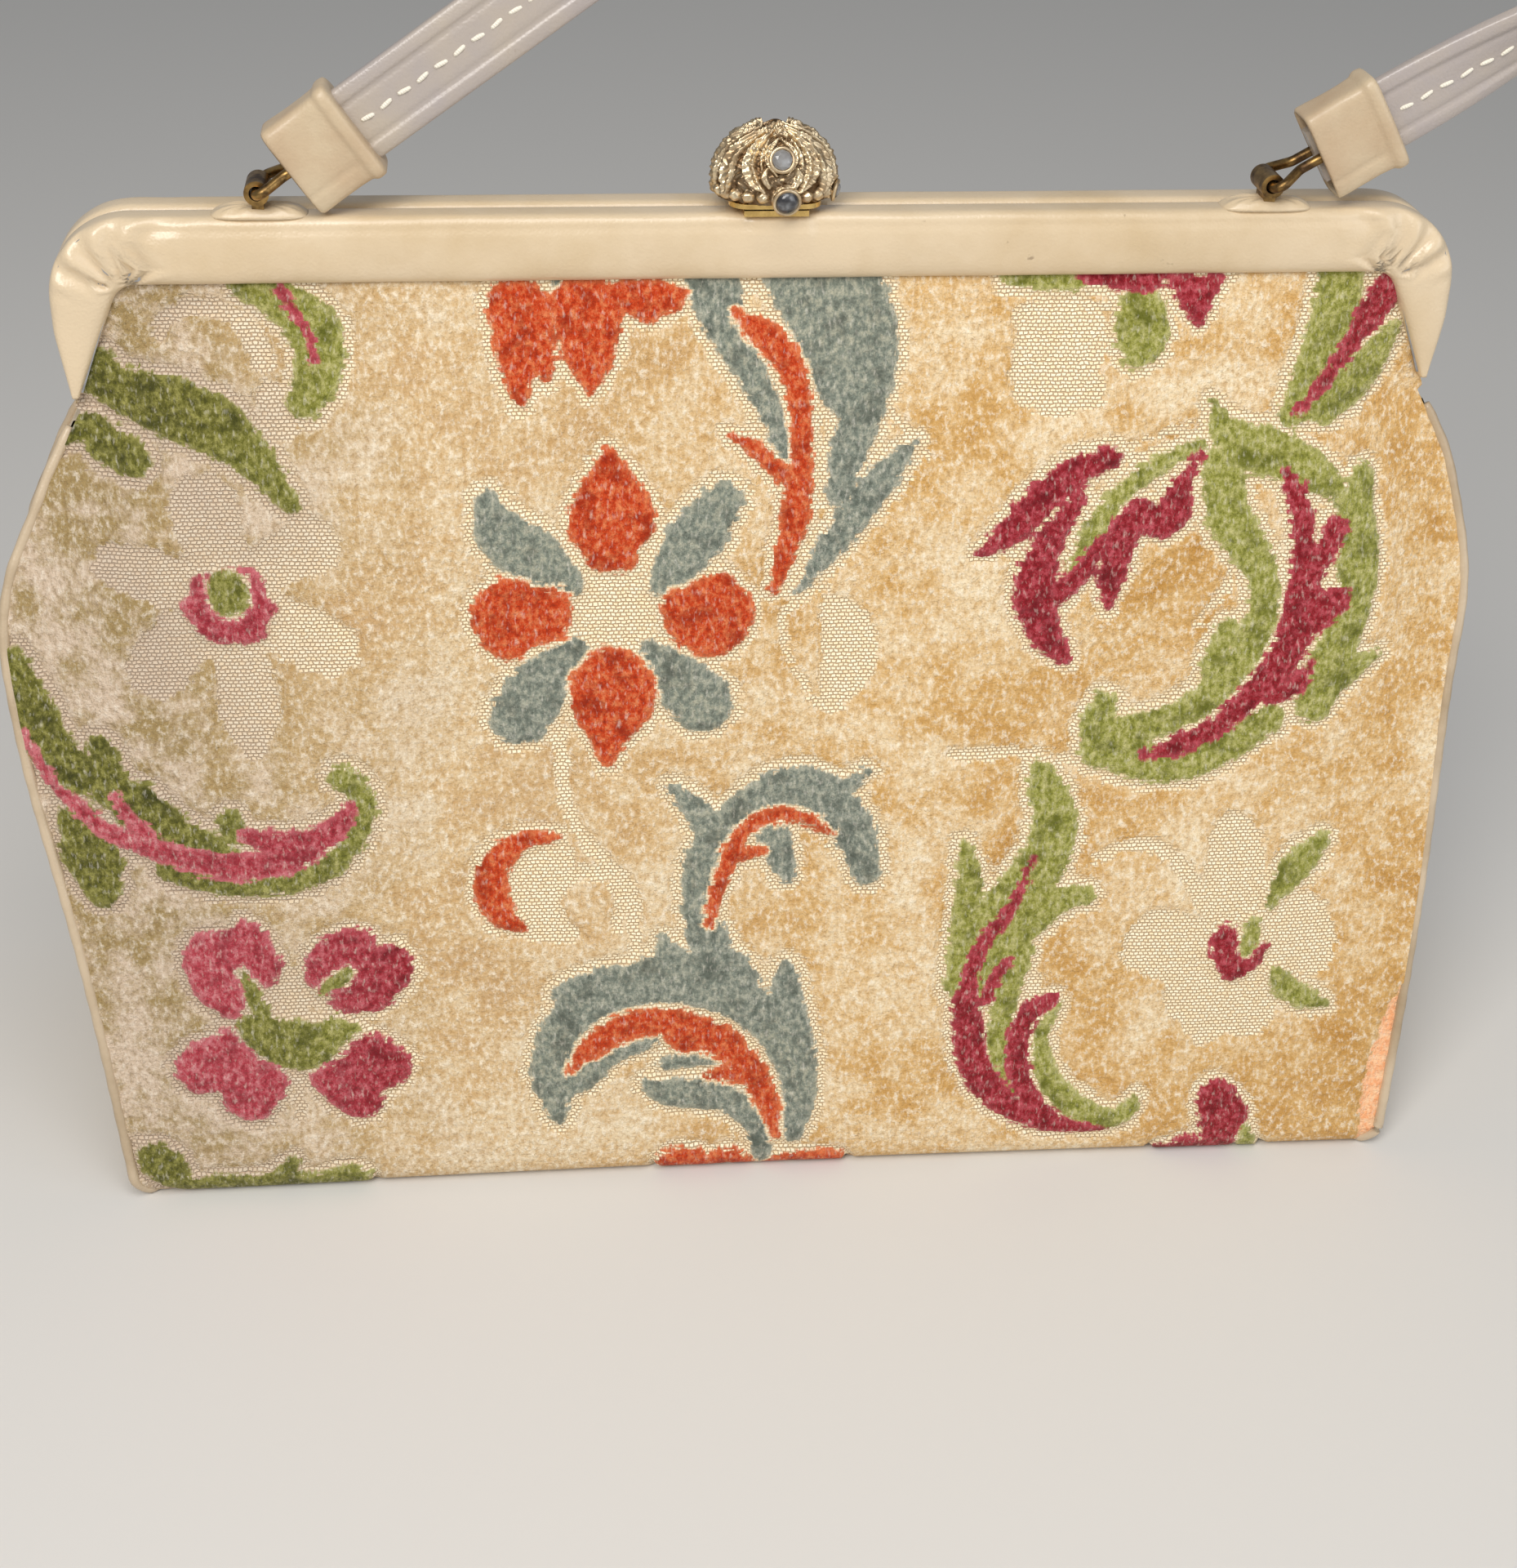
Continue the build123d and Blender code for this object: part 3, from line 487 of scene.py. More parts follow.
CREAM = [
    [(-107, 19), (-100, 20), (-98, 28), (-101, 34), (-107, 30)],
    [(-119, 46, 7.5), (-117, 54, 6), (-115, 62, 8)],
    [(-98, 54, 6.5), (-106, 58, 5), (-112, 64, 6)],
    [(-138, 58, 5), (-130, 60, 6), (-120, 64, 6)],
    [(-131, 80, 6.5), (-126, 74, 6.5), (-118, 68, 6)],
    [(-112, 100, 1), (-112, 90, 7), (-113, 80, 5.5), (-115, 72, 6)],
    [(-95, 76, 6.5), (-101, 73, 7), (-110, 68, 6)],
    [(-126, 11, 1.5), (-124, 6, 2), (-116, 4, 2), (-108, 8, 2.5), (-105, 16, 2.5)],
    [(-140, 26, 1.2), (-129, 26, 1.6)],
    [(-116, 113, 1.2), (-108, 116.5, 1.4), (-98, 114, 1.4), (-93, 110, 1.2)],
    [(-43.5, 60), (-25.5, 60), (-25.5, 78), (-43.5, 78)],
    [(10, 67), (16, 67.5), (21, 72), (23.5, 79), (22, 86), (17, 91), (13, 95), (10, 92), (10.5, 80)],
    [(2, 72, 0.9), (5, 67.5, 1.2), (11, 66, 1.3)],
    [(2, 72, 0.9), (3, 82, 0.9), (10, 92, 1)],
    [(-46.5, 96, 1.8), (-46, 110, 1.6), (-44, 118, 1.6), (-38, 126, 1.8), (-32, 132, 1.6),
     (-31, 140, 1.6), (-31, 150, 1.4)],
    [(-57, 123), (-50, 120), (-44, 122), (-43, 128), (-47, 132), (-47, 139), (-42, 143), (-45, 146),
     (-54, 146), (-57, 142), (-60, 136), (-60, 128)],
    [(-48, 134, 1.4), (-44, 129, 1.6), (-37, 129, 1.6), (-33, 135, 1.6), (-35, 142, 1.4)],
    [(51, 5), (70, 4), (72, 12), (70, 22), (72, 27), (64, 30), (55, 29), (50, 24), (52, 14)],
    [(-104, 148), (-112, 152), (-113, 159), (-99, 160), (-97, 156)],
    [(-108, 150, 1.6), (-107, 176, 1.8), (-107, 185, 1)],
    [(57, 160), (62, 157), (64, 162), (60, 165), (56, 169)],
    [(40, 104, 1.6), (62, 104, 1.2), (80, 113, 1.4), (92, 113, 1.3)],
    [(74, 130, 1.2), (80, 127, 1.6), (88, 127, 1.8), (95, 133, 1.8), (99, 142, 2)],
    [(100, 122), (106, 119), (112, 124), (114, 134), (113, 143), (119, 138), (126, 140), (131, 147),
     (132, 155), (128, 161), (121, 160), (118, 163), (119, 169), (113, 176), (106, 174), (101, 178),
     (95, 171), (90, 166), (92, 161), (88, 160), (80, 156), (82, 147), (88, 142), (95, 143),
     (100, 146), (99, 136)],
    [(70, 40, 1), (78, 36, 1), (90, 32, 1)],
    [(103, 60, 1), (99, 70, 1), (94, 76, 1)],
    [(20, 26, 1), (27, 30, 1.2), (33, 38, 1)],
]
GREEN_ON_TOP = [
    [(-119.5, 59), (-113, 58), (-110, 62), (-110.5, 68), (-116, 69.5), (-119.5, 67)],
    [(-118, 149, 1), (-116, 153, 2), (-115, 158, 2.2), (-113, 162, 2.5)],
    [(-101, 155, 1.2), (-99, 153.5, 2), (-96, 151.5, 2.2), (-94.5, 150, 1.4)],
    [(111.5, 146, 1.6), (111, 150, 2.6), (109.5, 153, 2)],
]
PATTERN = {"orange": ORANGE, "slate": SLATE, "green": GREEN, "raspberry": RASPBERRY, "peach": PEACH,
           "cream": CREAM}
OUTLINE = 1.7            # width of the flat weave round a motif
PILED = ("orange", "slate", "green", "raspberry")
ROWS = 232
COLUMNS = 266


def pile_height(depths):
    """Height of the pile in mm: none on flat weave, low on the ground and longest on a motif."""
    coloured = np.max([depths[name] for name in PILED], axis=0)
    unpiled = np.maximum(depths["cream"], depths["peach"])
    flat = ease(np.maximum(coloured + OUTLINE, unpiled) + 0.5)
    return GROUND_PILE * (1 - flat) + MOTIF_PILE * ease(coloured + 0.6)


def cloth_surface(face):
    """Outer face of the front or back cloth, as rows down and columns across, with its flat map.

    Each row follows the side section at its ends and a fuller, slightly bulging line in its
    middle, and the two are mixed with a smooth step over the outer 32 mm. Below the foot
    both run on round the base edge to the middle of the underside.
    """
    drop = evenly(edge_line, ROWS)
    middle_line = rounded_line(
        [(NECK, BAND_Z + TUCK), (NECK + 0.4, BAND_Z), (22, 150), (BELLY + 2.6, BELLY_Z),
         (FOOT - 1.5, 9), (FOOT - 1, 0), (0, 0)],
        [2, 40, 220, 20, BASE_EDGE],
    )
    middle = evenly(middle_line, ROWS)
    share, down_row = np.meshgrid(np.linspace(-1, 1, COLUMNS), np.arange(ROWS))
    z_side = drop[down_row, 1]
    half = half_width(np.maximum(z_side, 0))
    x = share * (half - 0.3)
    from_side = (1 - np.abs(share)) * half
    fullness = ease(from_side / 32)
    out = drop[down_row, 0] * (1 - fullness) + middle[down_row, 0] * fullness
    z = z_side * (1 - fullness) + middle[down_row, 1] * fullness
    sag = 0.55 * np.sin(x / 23 + z / 31) * np.sin(z / 19) + 0.4 * np.sin(x / 11 - z / 37)
    out += sag * fullness * ease((BAND_Z - z) / 25) * ease(z / 15)
    x = x + slump(z)
    points = np.stack([x, face * out + swing(x, z, face), z], -1)
    run = np.linalg.norm(np.diff(points[:, COLUMNS // 2], axis=0), axis=1)
    down = np.concatenate([[0], np.cumsum(run)]) - TUCK
    flat_map = np.stack([-face * x, np.broadcast_to(down[:, None], x.shape)], -1)
    return points, flat_map


def surface_normals(points):
    """Unit normals of a grid: the cross product of its two directions at each point."""
    across = np.gradient(points, axis=1)
    down = np.gradient(points, axis=0)
    normal = np.cross(down, across)
    return normal / (np.linalg.norm(normal, axis=-1, keepdims=True) + 1e-9)


def skin(name, points, material, flat_map=None, ring=False, lids=False, turn_over=False):
    """A piece from a grid of points in mm: each cell is a face, a ring joins its last column to its
    first, and lids close its first and last rows. The flat map, in mm, becomes its UV map."""
    rows, columns = points.shape[:2]
    index = np.arange(rows * columns).reshape(rows, columns)
    if ring:
        index = np.hstack([index, index[:, :1]])
    cells = np.stack([index[:-1, :-1], index[1:, :-1], index[1:, 1:], index[:-1, 1:]], -1)
    faces = cells.reshape(-1, 4)
    if turn_over:
        faces = faces[:, ::-1]
    faces = faces.tolist()
    if lids:
        first, last = index[0, :-1].tolist(), index[-1, :-1].tolist()
        faces += [first[::-1] if turn_over else first, last if turn_over else last[::-1]]
    mesh = bpy.data.meshes.new(name)
    mesh.from_pydata((points.reshape(-1, 3) * MM).tolist(), [], faces)
    mesh.shade_smooth()
    mesh.materials.append(material)
    if flat_map is not None:
        layer = mesh.uv_layers.new(name="flat")
        corner = np.zeros(len(mesh.loops), np.int32)
        mesh.loops.foreach_get("vertex_index", corner)
        flat_metres = flat_map.reshape(-1, 2)[corner] * MM
        layer.data.foreach_set("uv", flat_metres.astype(np.float32).ravel())
    piece = bpy.data.objects.new(name, mesh)
    bpy.context.scene.collection.objects.link(piece)
    return piece


def mark(piece, name, values):
    """Stores a value for each point under a name, for the material to read."""
    layer = piece.data.attributes.new(name, "FLOAT", "POINT")
    layer.data.foreach_set("value", np.asarray(values).astype(np.float32).ravel())


def make_carpet_cloth():
    """Carpet cloth: cut pile, with painted highlights on its tuft tips, painted shade at their roots and
    painted glints, and a matt basket weave.
    """
    material, shader = finish("woven_carpet_cloth", "#D9BC86", 0.92)
    flat = add(material, "ShaderNodeUVMap", {}, uv_map="flat").outputs[0]
    place = add(material, "ShaderNodeVectorMath", {0: flat, 3: 1000.0}, operation="SCALE").outputs[0]

    def per_cell(width, height):
        """A random value for each cell of the weave, of this width and height in mm."""
        steps = {0: place, 1: (width, height, 1)}
        cell = add(material, "ShaderNodeVectorMath", steps, operation="SNAP").outputs[0]
        noise = add(material, "ShaderNodeTexWhiteNoise", {"Vector": cell}, noise_dimensions="3D")
        return noise.outputs["Value"]

    wander = speckle(material, place, 0.28, 3.0, 0.6)
    fray = sum_of(material, per_cell(2.9, THREAD), 1.1, sum_of(material, wander, 2.4, -2.1))
    fray = sum_of(material, per_cell(0.7, THREAD), 0.7, fray)

    def drawn(name, soften=0.3, grow=0.0):
        """How much of a colour shows: its drawn depth frayed to the threads, 1 inside its edge."""
        depth = add(material, "ShaderNodeAttribute", {}, attribute_name=name).outputs["Fac"]
        return ramp(material, sum_of(material, fray, 1.0, depth), -soften - grow, soften - grow)

    def noise(scale, detail, stretch=(1, 1, 1), rough=0.55):
        spot = add(material, "ShaderNodeMapping", {"Vector": place, "Scale": stretch}).outputs[0]
        return speckle(material, spot, scale, detail, rough)

    def mixed(share, first, second):
        first = shade(first) if isinstance(first, str) else first
        second = shade(second) if isinstance(second, str) else second
        return blend_colours(material, share, first, second)

    # Ground pile: wide pale and golden zones, ashen at the left, with painted highlights on the fine
    # tuft tips and painted shade at their roots.
    sides = add(material, "ShaderNodeSeparateXYZ", {0: place})
    zones = noise(0.024, 3.0, rough=0.6)
    splotch = noise(0.11, 5.0, rough=0.7)
    fleck = noise(0.62, 4.0, (1.15, 0.8, 1), 0.68)
    fine = noise(2.2, 2.0)
    leftward = ramp(material, sum_of(material, zones, 90.0, sides.outputs[0]), -25.0, -85.0)
    golden = sum_of(material, splotch, 0.9, zones)
    ground = mixed(ramp(material, golden, 0.74, 1.02), "#F0DAB4", "#D9AE6E")
    ground = mixed(ramp(material, golden, 0.98, 1.22), ground, "#C08C42")
    ashen = mixed(ramp(material, golden, 0.84, 1.02), "#D0BAA2", "#A28A5C")
    greyed = sum_of(material, ramp(material, sides.outputs[0], 20.0, -50.0), 0.4, 0.0)
    ground = mixed(greyed, ground, "#D6C4A6")
    ground = mixed(leftward, ground, ashen)
    # Painted highlight on the tuft tips and painted shade at their roots, both placed by the fleck
    # noise.
    tip_highlight = sum_of(material, ramp(material, fleck, 0.51, 0.66), 0.65, 0.0)
    ground = mixed(tip_highlight, ground, mixed(leftward, "#FFF4DE", "#E9DAC6"))
    root_shade = sum_of(material, ramp(material, fleck, 0.48, 0.36), 0.5, 0.0)
    ground = mixed(root_shade, ground, mixed(leftward, "#B98A4A", "#8A7048"))

    # Flat weave: single cream threads crossing over and under like a basket.
    drift = add(material, "ShaderNodeTexNoise", {"Vector": place, "Scale": 0.7, "Detail": 1.0})
    uneven = add(
        material, "ShaderNodeVectorMath",
        {0: drift.outputs["Color"], 1: (0.9, 0.6, 0), 2: place}, operation="MULTIPLY_ADD",
    ).outputs[0]
    weave = add(
        material, "ShaderNodeTexBrick",
        {"Vector": uneven, "Color1": shade("#FFF6DA"), "Color2": shade("#FBE6BE"),
         "Mortar": shade("#D2A878"), "Scale": 1.0, "Mortar Size": 0.18, "Mortar Smooth": 1.0,
         "Brick Width": 1.1, "Row Height": 0.8},
        offset=0.5,
    )
    flat_colour = mixed(sum_of(material, fine, 0.4, 0.0), weave.outputs["Color"], "#F2DAB0")
    flat_colour = mixed(sum_of(material, leftward, 0.7, 0.0), flat_colour, "#B8A292")
    # Noise that places the soft painted shadows on the motif pile.
    shadow = noise(0.16, 4.0, rough=0.65)

    def pile(name, dark, middle, light):
        """Motif pile: painted highlights on the tips, painted shade at the roots, soft painted shadows,
        and a painted highlight on the rim where it leans out.
        """
        # Painted highlight on the tips, painted shade at the roots and in soft shadows, and a painted
        # highlight on the rim.
        colour = mixed(ramp(material, fleck, 0.46, 0.66), middle, light)
        colour = mixed(sum_of(material, ramp(material, fleck, 0.46, 0.34), 0.8, 0.0), colour, dark)
        colour = mixed(ramp(material, shadow, 0.50, 0.68), colour, dark)
        depth = add(material, "ShaderNodeAttribute", {}, attribute_name=name).outputs["Fac"]
        rim_highlight = ramp(material, sum_of(material, shadow, 2.0, depth), 2.4, 0.8)
        return mixed(sum_of(material, rim_highlight, 0.55, 0.0), colour, light)

    outline = drawn("motif", 0.5, OUTLINE + 0.2)
    colour = mixed(drawn("cream"), ground, flat_colour)
    colour = mixed(outline, colour, flat_colour)
    slate = mixed(ramp(material, zones, 0.42, 0.56),
                  pile("slate", "#5F6358", "#7F8679", "#B5B29C"),
                  pile("slate", "#5A6157", "#7C8377", "#B3B2A0"))
    colour = mixed(drawn("slate", grow=-0.2), colour, slate)
    green = mixed(leftward, pile("green", "#63661E", "#929240", "#C4BE80"),
                  pile("green", "#3C3D12", "#646224", "#9A9552"))
    colour = mixed(drawn("green", grow=-0.2), colour, green)
    vein_edge = drawn("orange", 0.4, 0.7)
    colour = mixed(vein_edge, colour, flat_colour)
    colour = mixed(drawn("orange"), colour, pile("orange", "#982604", "#C43E12", "#E08252"))
    rose = mixed(leftward, pile("raspberry", "#6C0A16", "#901824", "#C25660"),
                 pile("raspberry", "#88242F", "#B03E4A", "#CE8286"))
    colour = mixed(drawn("raspberry"), colour, rose)
    peach = mixed(ramp(material, fleck, 0.4, 0.6), "#FFD0A4", "#F8AE7A")
    colour = mixed(drawn("peach"), colour, peach)
    # Painted highlight: pale glints on the pile tufts, kept off the flat weave.
    glint = ramp(material, noise(0.8, 2.0, (1.5, 0.6, 1)), 0.56, 0.74)

    def less(first, second):
        """The first share less the second, never below 0."""
        shares = {0: first, 1: second}
        return add(material, "ShaderNodeMath", shares, operation="SUBTRACT", use_clamp=True).outputs[0]

    shares = {0: drawn("cream"), 1: outline}
    flat_share = add(material, "ShaderNodeMath", shares, operation="MAXIMUM").outputs[0]
    in_weave = less(flat_share, drawn("motif", 0.4))
    colour = mixed(sum_of(material, less(glint, in_weave), 0.3, 0.0), colour, "#FFF6E6")
    feed(material, shader, "Base Color", colour)

    tuft_place = add(material, "ShaderNodeMapping", {"Vector": place, "Scale": (1.1, 0.9, 1)})
    tufts = add(
        material, "ShaderNodeTexVoronoi",
        {"Vector": tuft_place.outputs[0], "Scale": 1.0, "Randomness": 0.85},
    ).outputs["Distance"]
    grain = sum_of(material, tufts, -0.8, sum_of(material, fleck, 1.6, fine))
    threads = sum_of(material, weave.outputs["Fac"], -0.8, 0.8)
    relief = add(
        material, "ShaderNodeMix", {0: in_weave, 2: grain, 3: threads}, data_type="FLOAT"
    ).outputs[0]
    roughen(material, shader, relief, 0.85, 0.00055)
    shader.inputs["Sheen Weight"].default_value = 0.18
    shader.inputs["Sheen Roughness"].default_value = 0.45
    shader.inputs["Sheen Tint"].default_value = shade("#FFF2D6")
    shader.inputs["Specular IOR Level"].default_value = 0.25
    return material


carpet_cloth = make_carpet_cloth()
for face, side, leaf in ((-1, "front", "front_leaf"), (1, "back", "back_leaf")):
    points, flat_map = cloth_surface(face)
    across, down = flat_map[..., 0], flat_map[..., 1]
    depths = {name: motif_depth(across, down, shapes) for name, shapes in PATTERN.items()}
    over = motif_depth(across, down, GREEN_ON_TOP)
    depths["raspberry"] = np.minimum(depths["raspberry"], -over)
    depths["green"] = np.maximum(depths["green"], over)
    depths["motif"] = np.max([depths[name] for name in PILED], axis=0)
    lift = pile_height(depths) - GROUND_PILE
    edge = ease((HINGE_Z + 26 - points[..., 2]) / 4)
    normals = surface_normals(points) * -face
    points = points + normals * (lift * edge)[..., None]
    cloth = skin(f"carpet_{side}", points, carpet_cloth, flat_map, turn_over=face > 0)
    for name, depth in depths.items():
        mark(cloth, name, depth)
    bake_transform(cloth)
    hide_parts("carpet_shell")

# ------------------------------------------------------------------ vinyl gussets and welt cords
# Cream vinyl side panels, a tall narrow triangle each, sewn between the front and back cloth.
# The tip of each is tucked in between the legs of the frame. A cord covered in the same vinyl,
# coloured darker and greyer as painted shade, runs along each seam, round the foot and under the base.


def make_vinyl(name, colour, aged, roughness):
    """Embossed vinyl: satin gloss, a fine leather grain 0.5 mm wide, yellowing and rubbed marks."""
    material, shader = finish(name, colour, roughness)
    place = object_place(material)
    age = speckle(material, place, 32.0, 5.0, 0.6)
    tint = blend_colours(material, ramp(material, age, 0.42, 0.68), shade(colour), shade(aged))
    rub = ramp(material, speckle(material, place, 210.0, 3.0, 0.7), 0.67, 0.73)
    dirt = ramp(material, speckle(material, place, 26.0, 2.0), 0.52, 0.66)
    speck = add(material, "ShaderNodeMath", {0: rub, 1: dirt}, operation="MULTIPLY").outputs[0]
    tint = blend_colours(material, sum_of(material, speck, 0.7, 0.0), tint, shade("#7A6348"))
    feed(material, shader, "Base Color", tint)
    gloss = sum_of(material, ramp(material, age, 0.3, 0.7), 0.14, roughness - 0.07)
    feed(material, shader, "Roughness", gloss)
    lumps = {"Vector": place, "Scale": 1900.0}
    grain = add(material, "ShaderNodeTexVoronoi", lumps, feature="SMOOTH_F1").outputs["Distance"]
    roughen(material, shader, sum_of(material, age, 1.5, grain), 0.18, 0.0004)
    shader.inputs["Coat Weight"].default_value = 0.3
    shader.inputs["Coat Roughness"].default_value = 0.16
    return material


vinyl = make_vinyl("embossed_cream_vinyl", "#D8C3A3", "#CBB38E", 0.34)
# Painted shade: the welt cords' vinyl is darker and greyer than the panels' to stand for the shade along
# the seams.
shaded_cord_vinyl = make_vinyl("cord_vinyl_painted_shade", "#C6B296", "#A08A6C", 0.42)
WELT_RADIUS = 1.15
WELT_RINGS = 220


def seam_depth(z):
    """Half depth of the side seam at a height."""
    return np.interp(z, edge_line[::-1, 1], edge_line[::-1, 0])


def side_fall(top, innermost):
    """Points down the side line, closer than 1 mm, from below a height to a place under the base."""
    fall = evenly(side_line, 1800)
    return fall[(fall[:, 1] < top) & (fall[:, 0] > innermost)]


def swing_between(x, z, share):
    """The turned foot's shift for a side panel: from the front's at a share of -1 to the back's at 1."""
    return 0.5 * ((1 - share) * swing(x, z, -1) + (1 + share) * swing(x, z, 1))


for side, name in ((-1, "left"), (1, "right")):
    tongue = [(HINGE_HALF - 9.5, HINGE_Z + 2), (HINGE_HALF - 7.0, HINGE_Z - 0.5),
              (HINGE_HALF - 4.2, HINGE_Z - 2.2)]
    fall = np.concatenate([tongue, side_fall(HINGE_Z - 3, BASE_HALF - BASE_CORNER - 6)[::6]])
    share, row = np.meshgrid(np.linspace(-1, 1, 49), np.arange(len(fall)))
    z = fall[row, 1]
    depth = seam_depth(z) - 0.9
    fullness = ease(z / 40) * ease((HINGE_Z - 12 - z) / 36)
    crease = 3.2 * np.exp(-((share / 0.3) ** 2)) * ease((z - 70) / 80)
    ripple = 0.5 * np.sin(z / 6.5 + 2.2 * share) * ease((np.abs(share) - 0.5) / 0.5)
    x = fall[row, 0] + 0.2 + (2.6 * (1 - share**2) - crease + ripple) * fullness
    x = side * x + slump(z)
    y = share * depth + swing_between(x, z, share)
    points = np.stack([x, y, np.maximum(z, 0.5)], -1)
    gusset = skin(f"gusset_skin_{name}", points, vinyl, turn_over=side < 0)
    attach(gusset, "bag")
    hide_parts(f"gusset_{name}")


def tube(path, radius, sides):
    """A round tube along a path: rings square to it, whose frame turns with the path."""
    path = np.array(path, float)
    ahead = np.gradient(path, axis=0)
    ahead /= np.linalg.norm(ahead, axis=1, keepdims=True)
    up = np.array([0.31, 0.17, 0.93])
    first = np.cross(ahead, up)
    first /= np.linalg.norm(first, axis=1, keepdims=True)
    second = np.cross(ahead, first)
    angle = np.linspace(0, 2 * np.pi, sides, endpoint=False)[None, :, None]
    reach = np.broadcast_to(np.asarray(radius, float), (len(path),))[:, None, None]
    return path[:, None] + reach * (np.cos(angle) * first[:, None] + np.sin(angle) * second[:, None])


for face, face_name in ((-1, "front"), (1, "back")):
    for side, side_name in ((-1, "left"), (1, "right")):
        fall = side_fall(HINGE_Z - 4, BASE_HALF - BASE_CORNER)
        depth = seam_depth(fall[:, 1])
        lean = ease((BASE_CORNER - fall[:, 1]) / BASE_CORNER)
        path = np.stack([side * (fall[:, 0] + 0.4 - lean), face * (depth - 0.6), fall[:, 1]], 1)
        under = [(path[-1, 0], path[-1, 1] * part, 0.0) for part in np.linspace(0.95, 0, 24)]
        path = evenly(np.concatenate([path, under]), WELT_RINGS)
        path[:, 2] = np.maximum(path[:, 2], WELT_RADIUS + 0.1)
        path[:, 0] += slump(path[:, 2])
        path[:, 1] += swing(path[:, 0], path[:, 2], face) * np.abs(path[:, 1]) / FOOT
        swell = WELT_RADIUS * (1 + 0.05 * np.sin(np.arange(WELT_RINGS) * 0.9))
        swell[:4] *= np.linspace(0.7, 1, 4)
        rings = tube(path, swell, 14)
        welt = skin(f"welt_cord_{face_name}_{side_name}", rings, shaded_cord_vinyl, ring=True, lids=True)
        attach(welt, "bag")
        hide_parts(f"welt_{face_name}_{side_name}")

# ------------------------------------------------------------------ frame covers
# Each steel leaf of the frame is wrapped in thin padded vinyl, drawn tight round its edges and
# glued inside the channel. It puckers where it is turned round the two inner corners.

LEAF_TOP = 1000 * leaf_high.z
LEAF_HALF = 1000 * leaf_high.x
LEAF_FRONT = -1000 * leaf_low.y
LEAF_BACK = -1000 * leaf_high.y
LEG_END = 1000 * leaf_low.z
BAND = LEAF_TOP - BAND_Z
INNER_CORNER = LEAF_HALF - BAND


def squared(values, power):
    """Raises the size of each value to a power and keeps its sign, which squares off a circle."""
    return np.sign(values) * np.abs(values) ** power


def leaf_cover(face):
    """Padded ring round the leaf: a rounded rectangle carried along the leaf's outline.

    At each station the section reaches from the inner line to the outer line. It is a
    superellipse of power 5 with a crowned face, plus slow ripples, and radial puckers whose
    height fades with distance from the inner corner.
    """
    outer = rounded_line([(0, LEAF_TOP), (LEAF_HALF, LEAF_TOP), (LEAF_HALF, LEG_END + 14),
                          (LEAF_HALF - 2.2, LEG_END)], [17, 20])
    inner = rounded_line([(0, BAND_Z), (INNER_CORNER, BAND_Z), (LEAF_HALF - 3.8, LEG_END)], [5])
    split_outer = int(np.argmax(outer[:, 0] > LEAF_HALF - 5))
    split_inner = int(np.argmax(inner[:, 0] > INNER_CORNER - 0.3))

    def both_halves(line, split):
        """150 points along the top and 60 down the leg, then the same mirrored to the left."""
        line = np.concatenate([evenly(line[: split + 1], 150), evenly(line[split:], 60)[1:]])
        return np.concatenate([line[:0:-1] * (-1, 1), line])

    outer = both_halves(outer, split_outer)
    inner = both_halves(inner, split_inner)
    turn = np.linspace(0, 2 * np.pi, 64, endpoint=False)
    wide = 0.5 - 0.5 * squared(np.cos(turn), 2 / 5)
    deep = squared(np.sin(turn), 2 / 5)
    place = inner[:, None] + (outer - inner)[:, None] * wide[None, :, None]
    x, z = place[..., 0], place[..., 1]
    width = np.linalg.norm(outer - inner, axis=1)[:, None]
    middle, half = (LEAF_FRONT + LEAF_BACK) / 2, (LEAF_FRONT - LEAF_BACK) / 2
    out = middle + half * deep
    shown = ease((deep - 0.4) / 0.5)
    crown = 0.7 * (1 - (2 * wide[None] - 1) ** 2) * np.clip(width / BAND, 0, 1)
    ripple = 0.12 * np.sin(x / 9 + 1.3 * np.sin(z / 5)) + 0.1 * np.sin(x / 4.3 + z / 3)
    fold = 0.28 * np.exp(-(((z - (LEAF_TOP - 2.6)) / 0.8) ** 2)) * (np.abs(x) < LEAF_HALF - 18)
    from_corner = np.hypot(np.abs(x) - INNER_CORNER, z - BAND_Z)
    bearing = np.arctan2(z - BAND_Z + 1, np.abs(x) - INNER_CORNER + 1)
    strength = ease((from_corner - 0.5) / 3) * np.exp(-((from_corner / 14) ** 2))
    pucker = strength * ease((bearing + 0.2) / 0.5) * ease((2.9 - bearing) / 0.6)
    pucker = 1.2 * pucker * (np.sin(bearing * 11.5 + 1.1 * np.sin(from_corner / 4)) - 0.45)
    tab = 0.55 * ease((7 - np.abs(x - 1)) / 0.8) * ease((z - LEAF_TOP + 6) / 0.8)
    out = out + (crown + ripple - fold + pucker + tab) * shown
    return np.stack([x, face * out, z], -1)


for face, side, leaf in ((-1, "front", "front_leaf"), (1, "back", "back_leaf")):
    rings = leaf_cover(face)
    cover = skin(f"leaf_skin_{side}", rings, vinyl, ring=True, lids=True, turn_over=face < 0)
    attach(cover, leaf)
    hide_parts(f"cover_{side}")

# ------------------------------------------------------------------ lining and pocket
# A loose bag of plain beige twill hangs inside. Its top edges are gripped by the leaves with
# the cloth. A flat pocket with a hemmed, slightly gathered mouth is sewn to its back.

LINING_IN = 3.3          # lining behind the outer face of the cloth
LINING_SIDE = 9.0
LINING_FLOOR = 5.4
POCKET_HALF = 65.0
POCKET_LOW = 70.0
POCKET_HIGH = 145.0


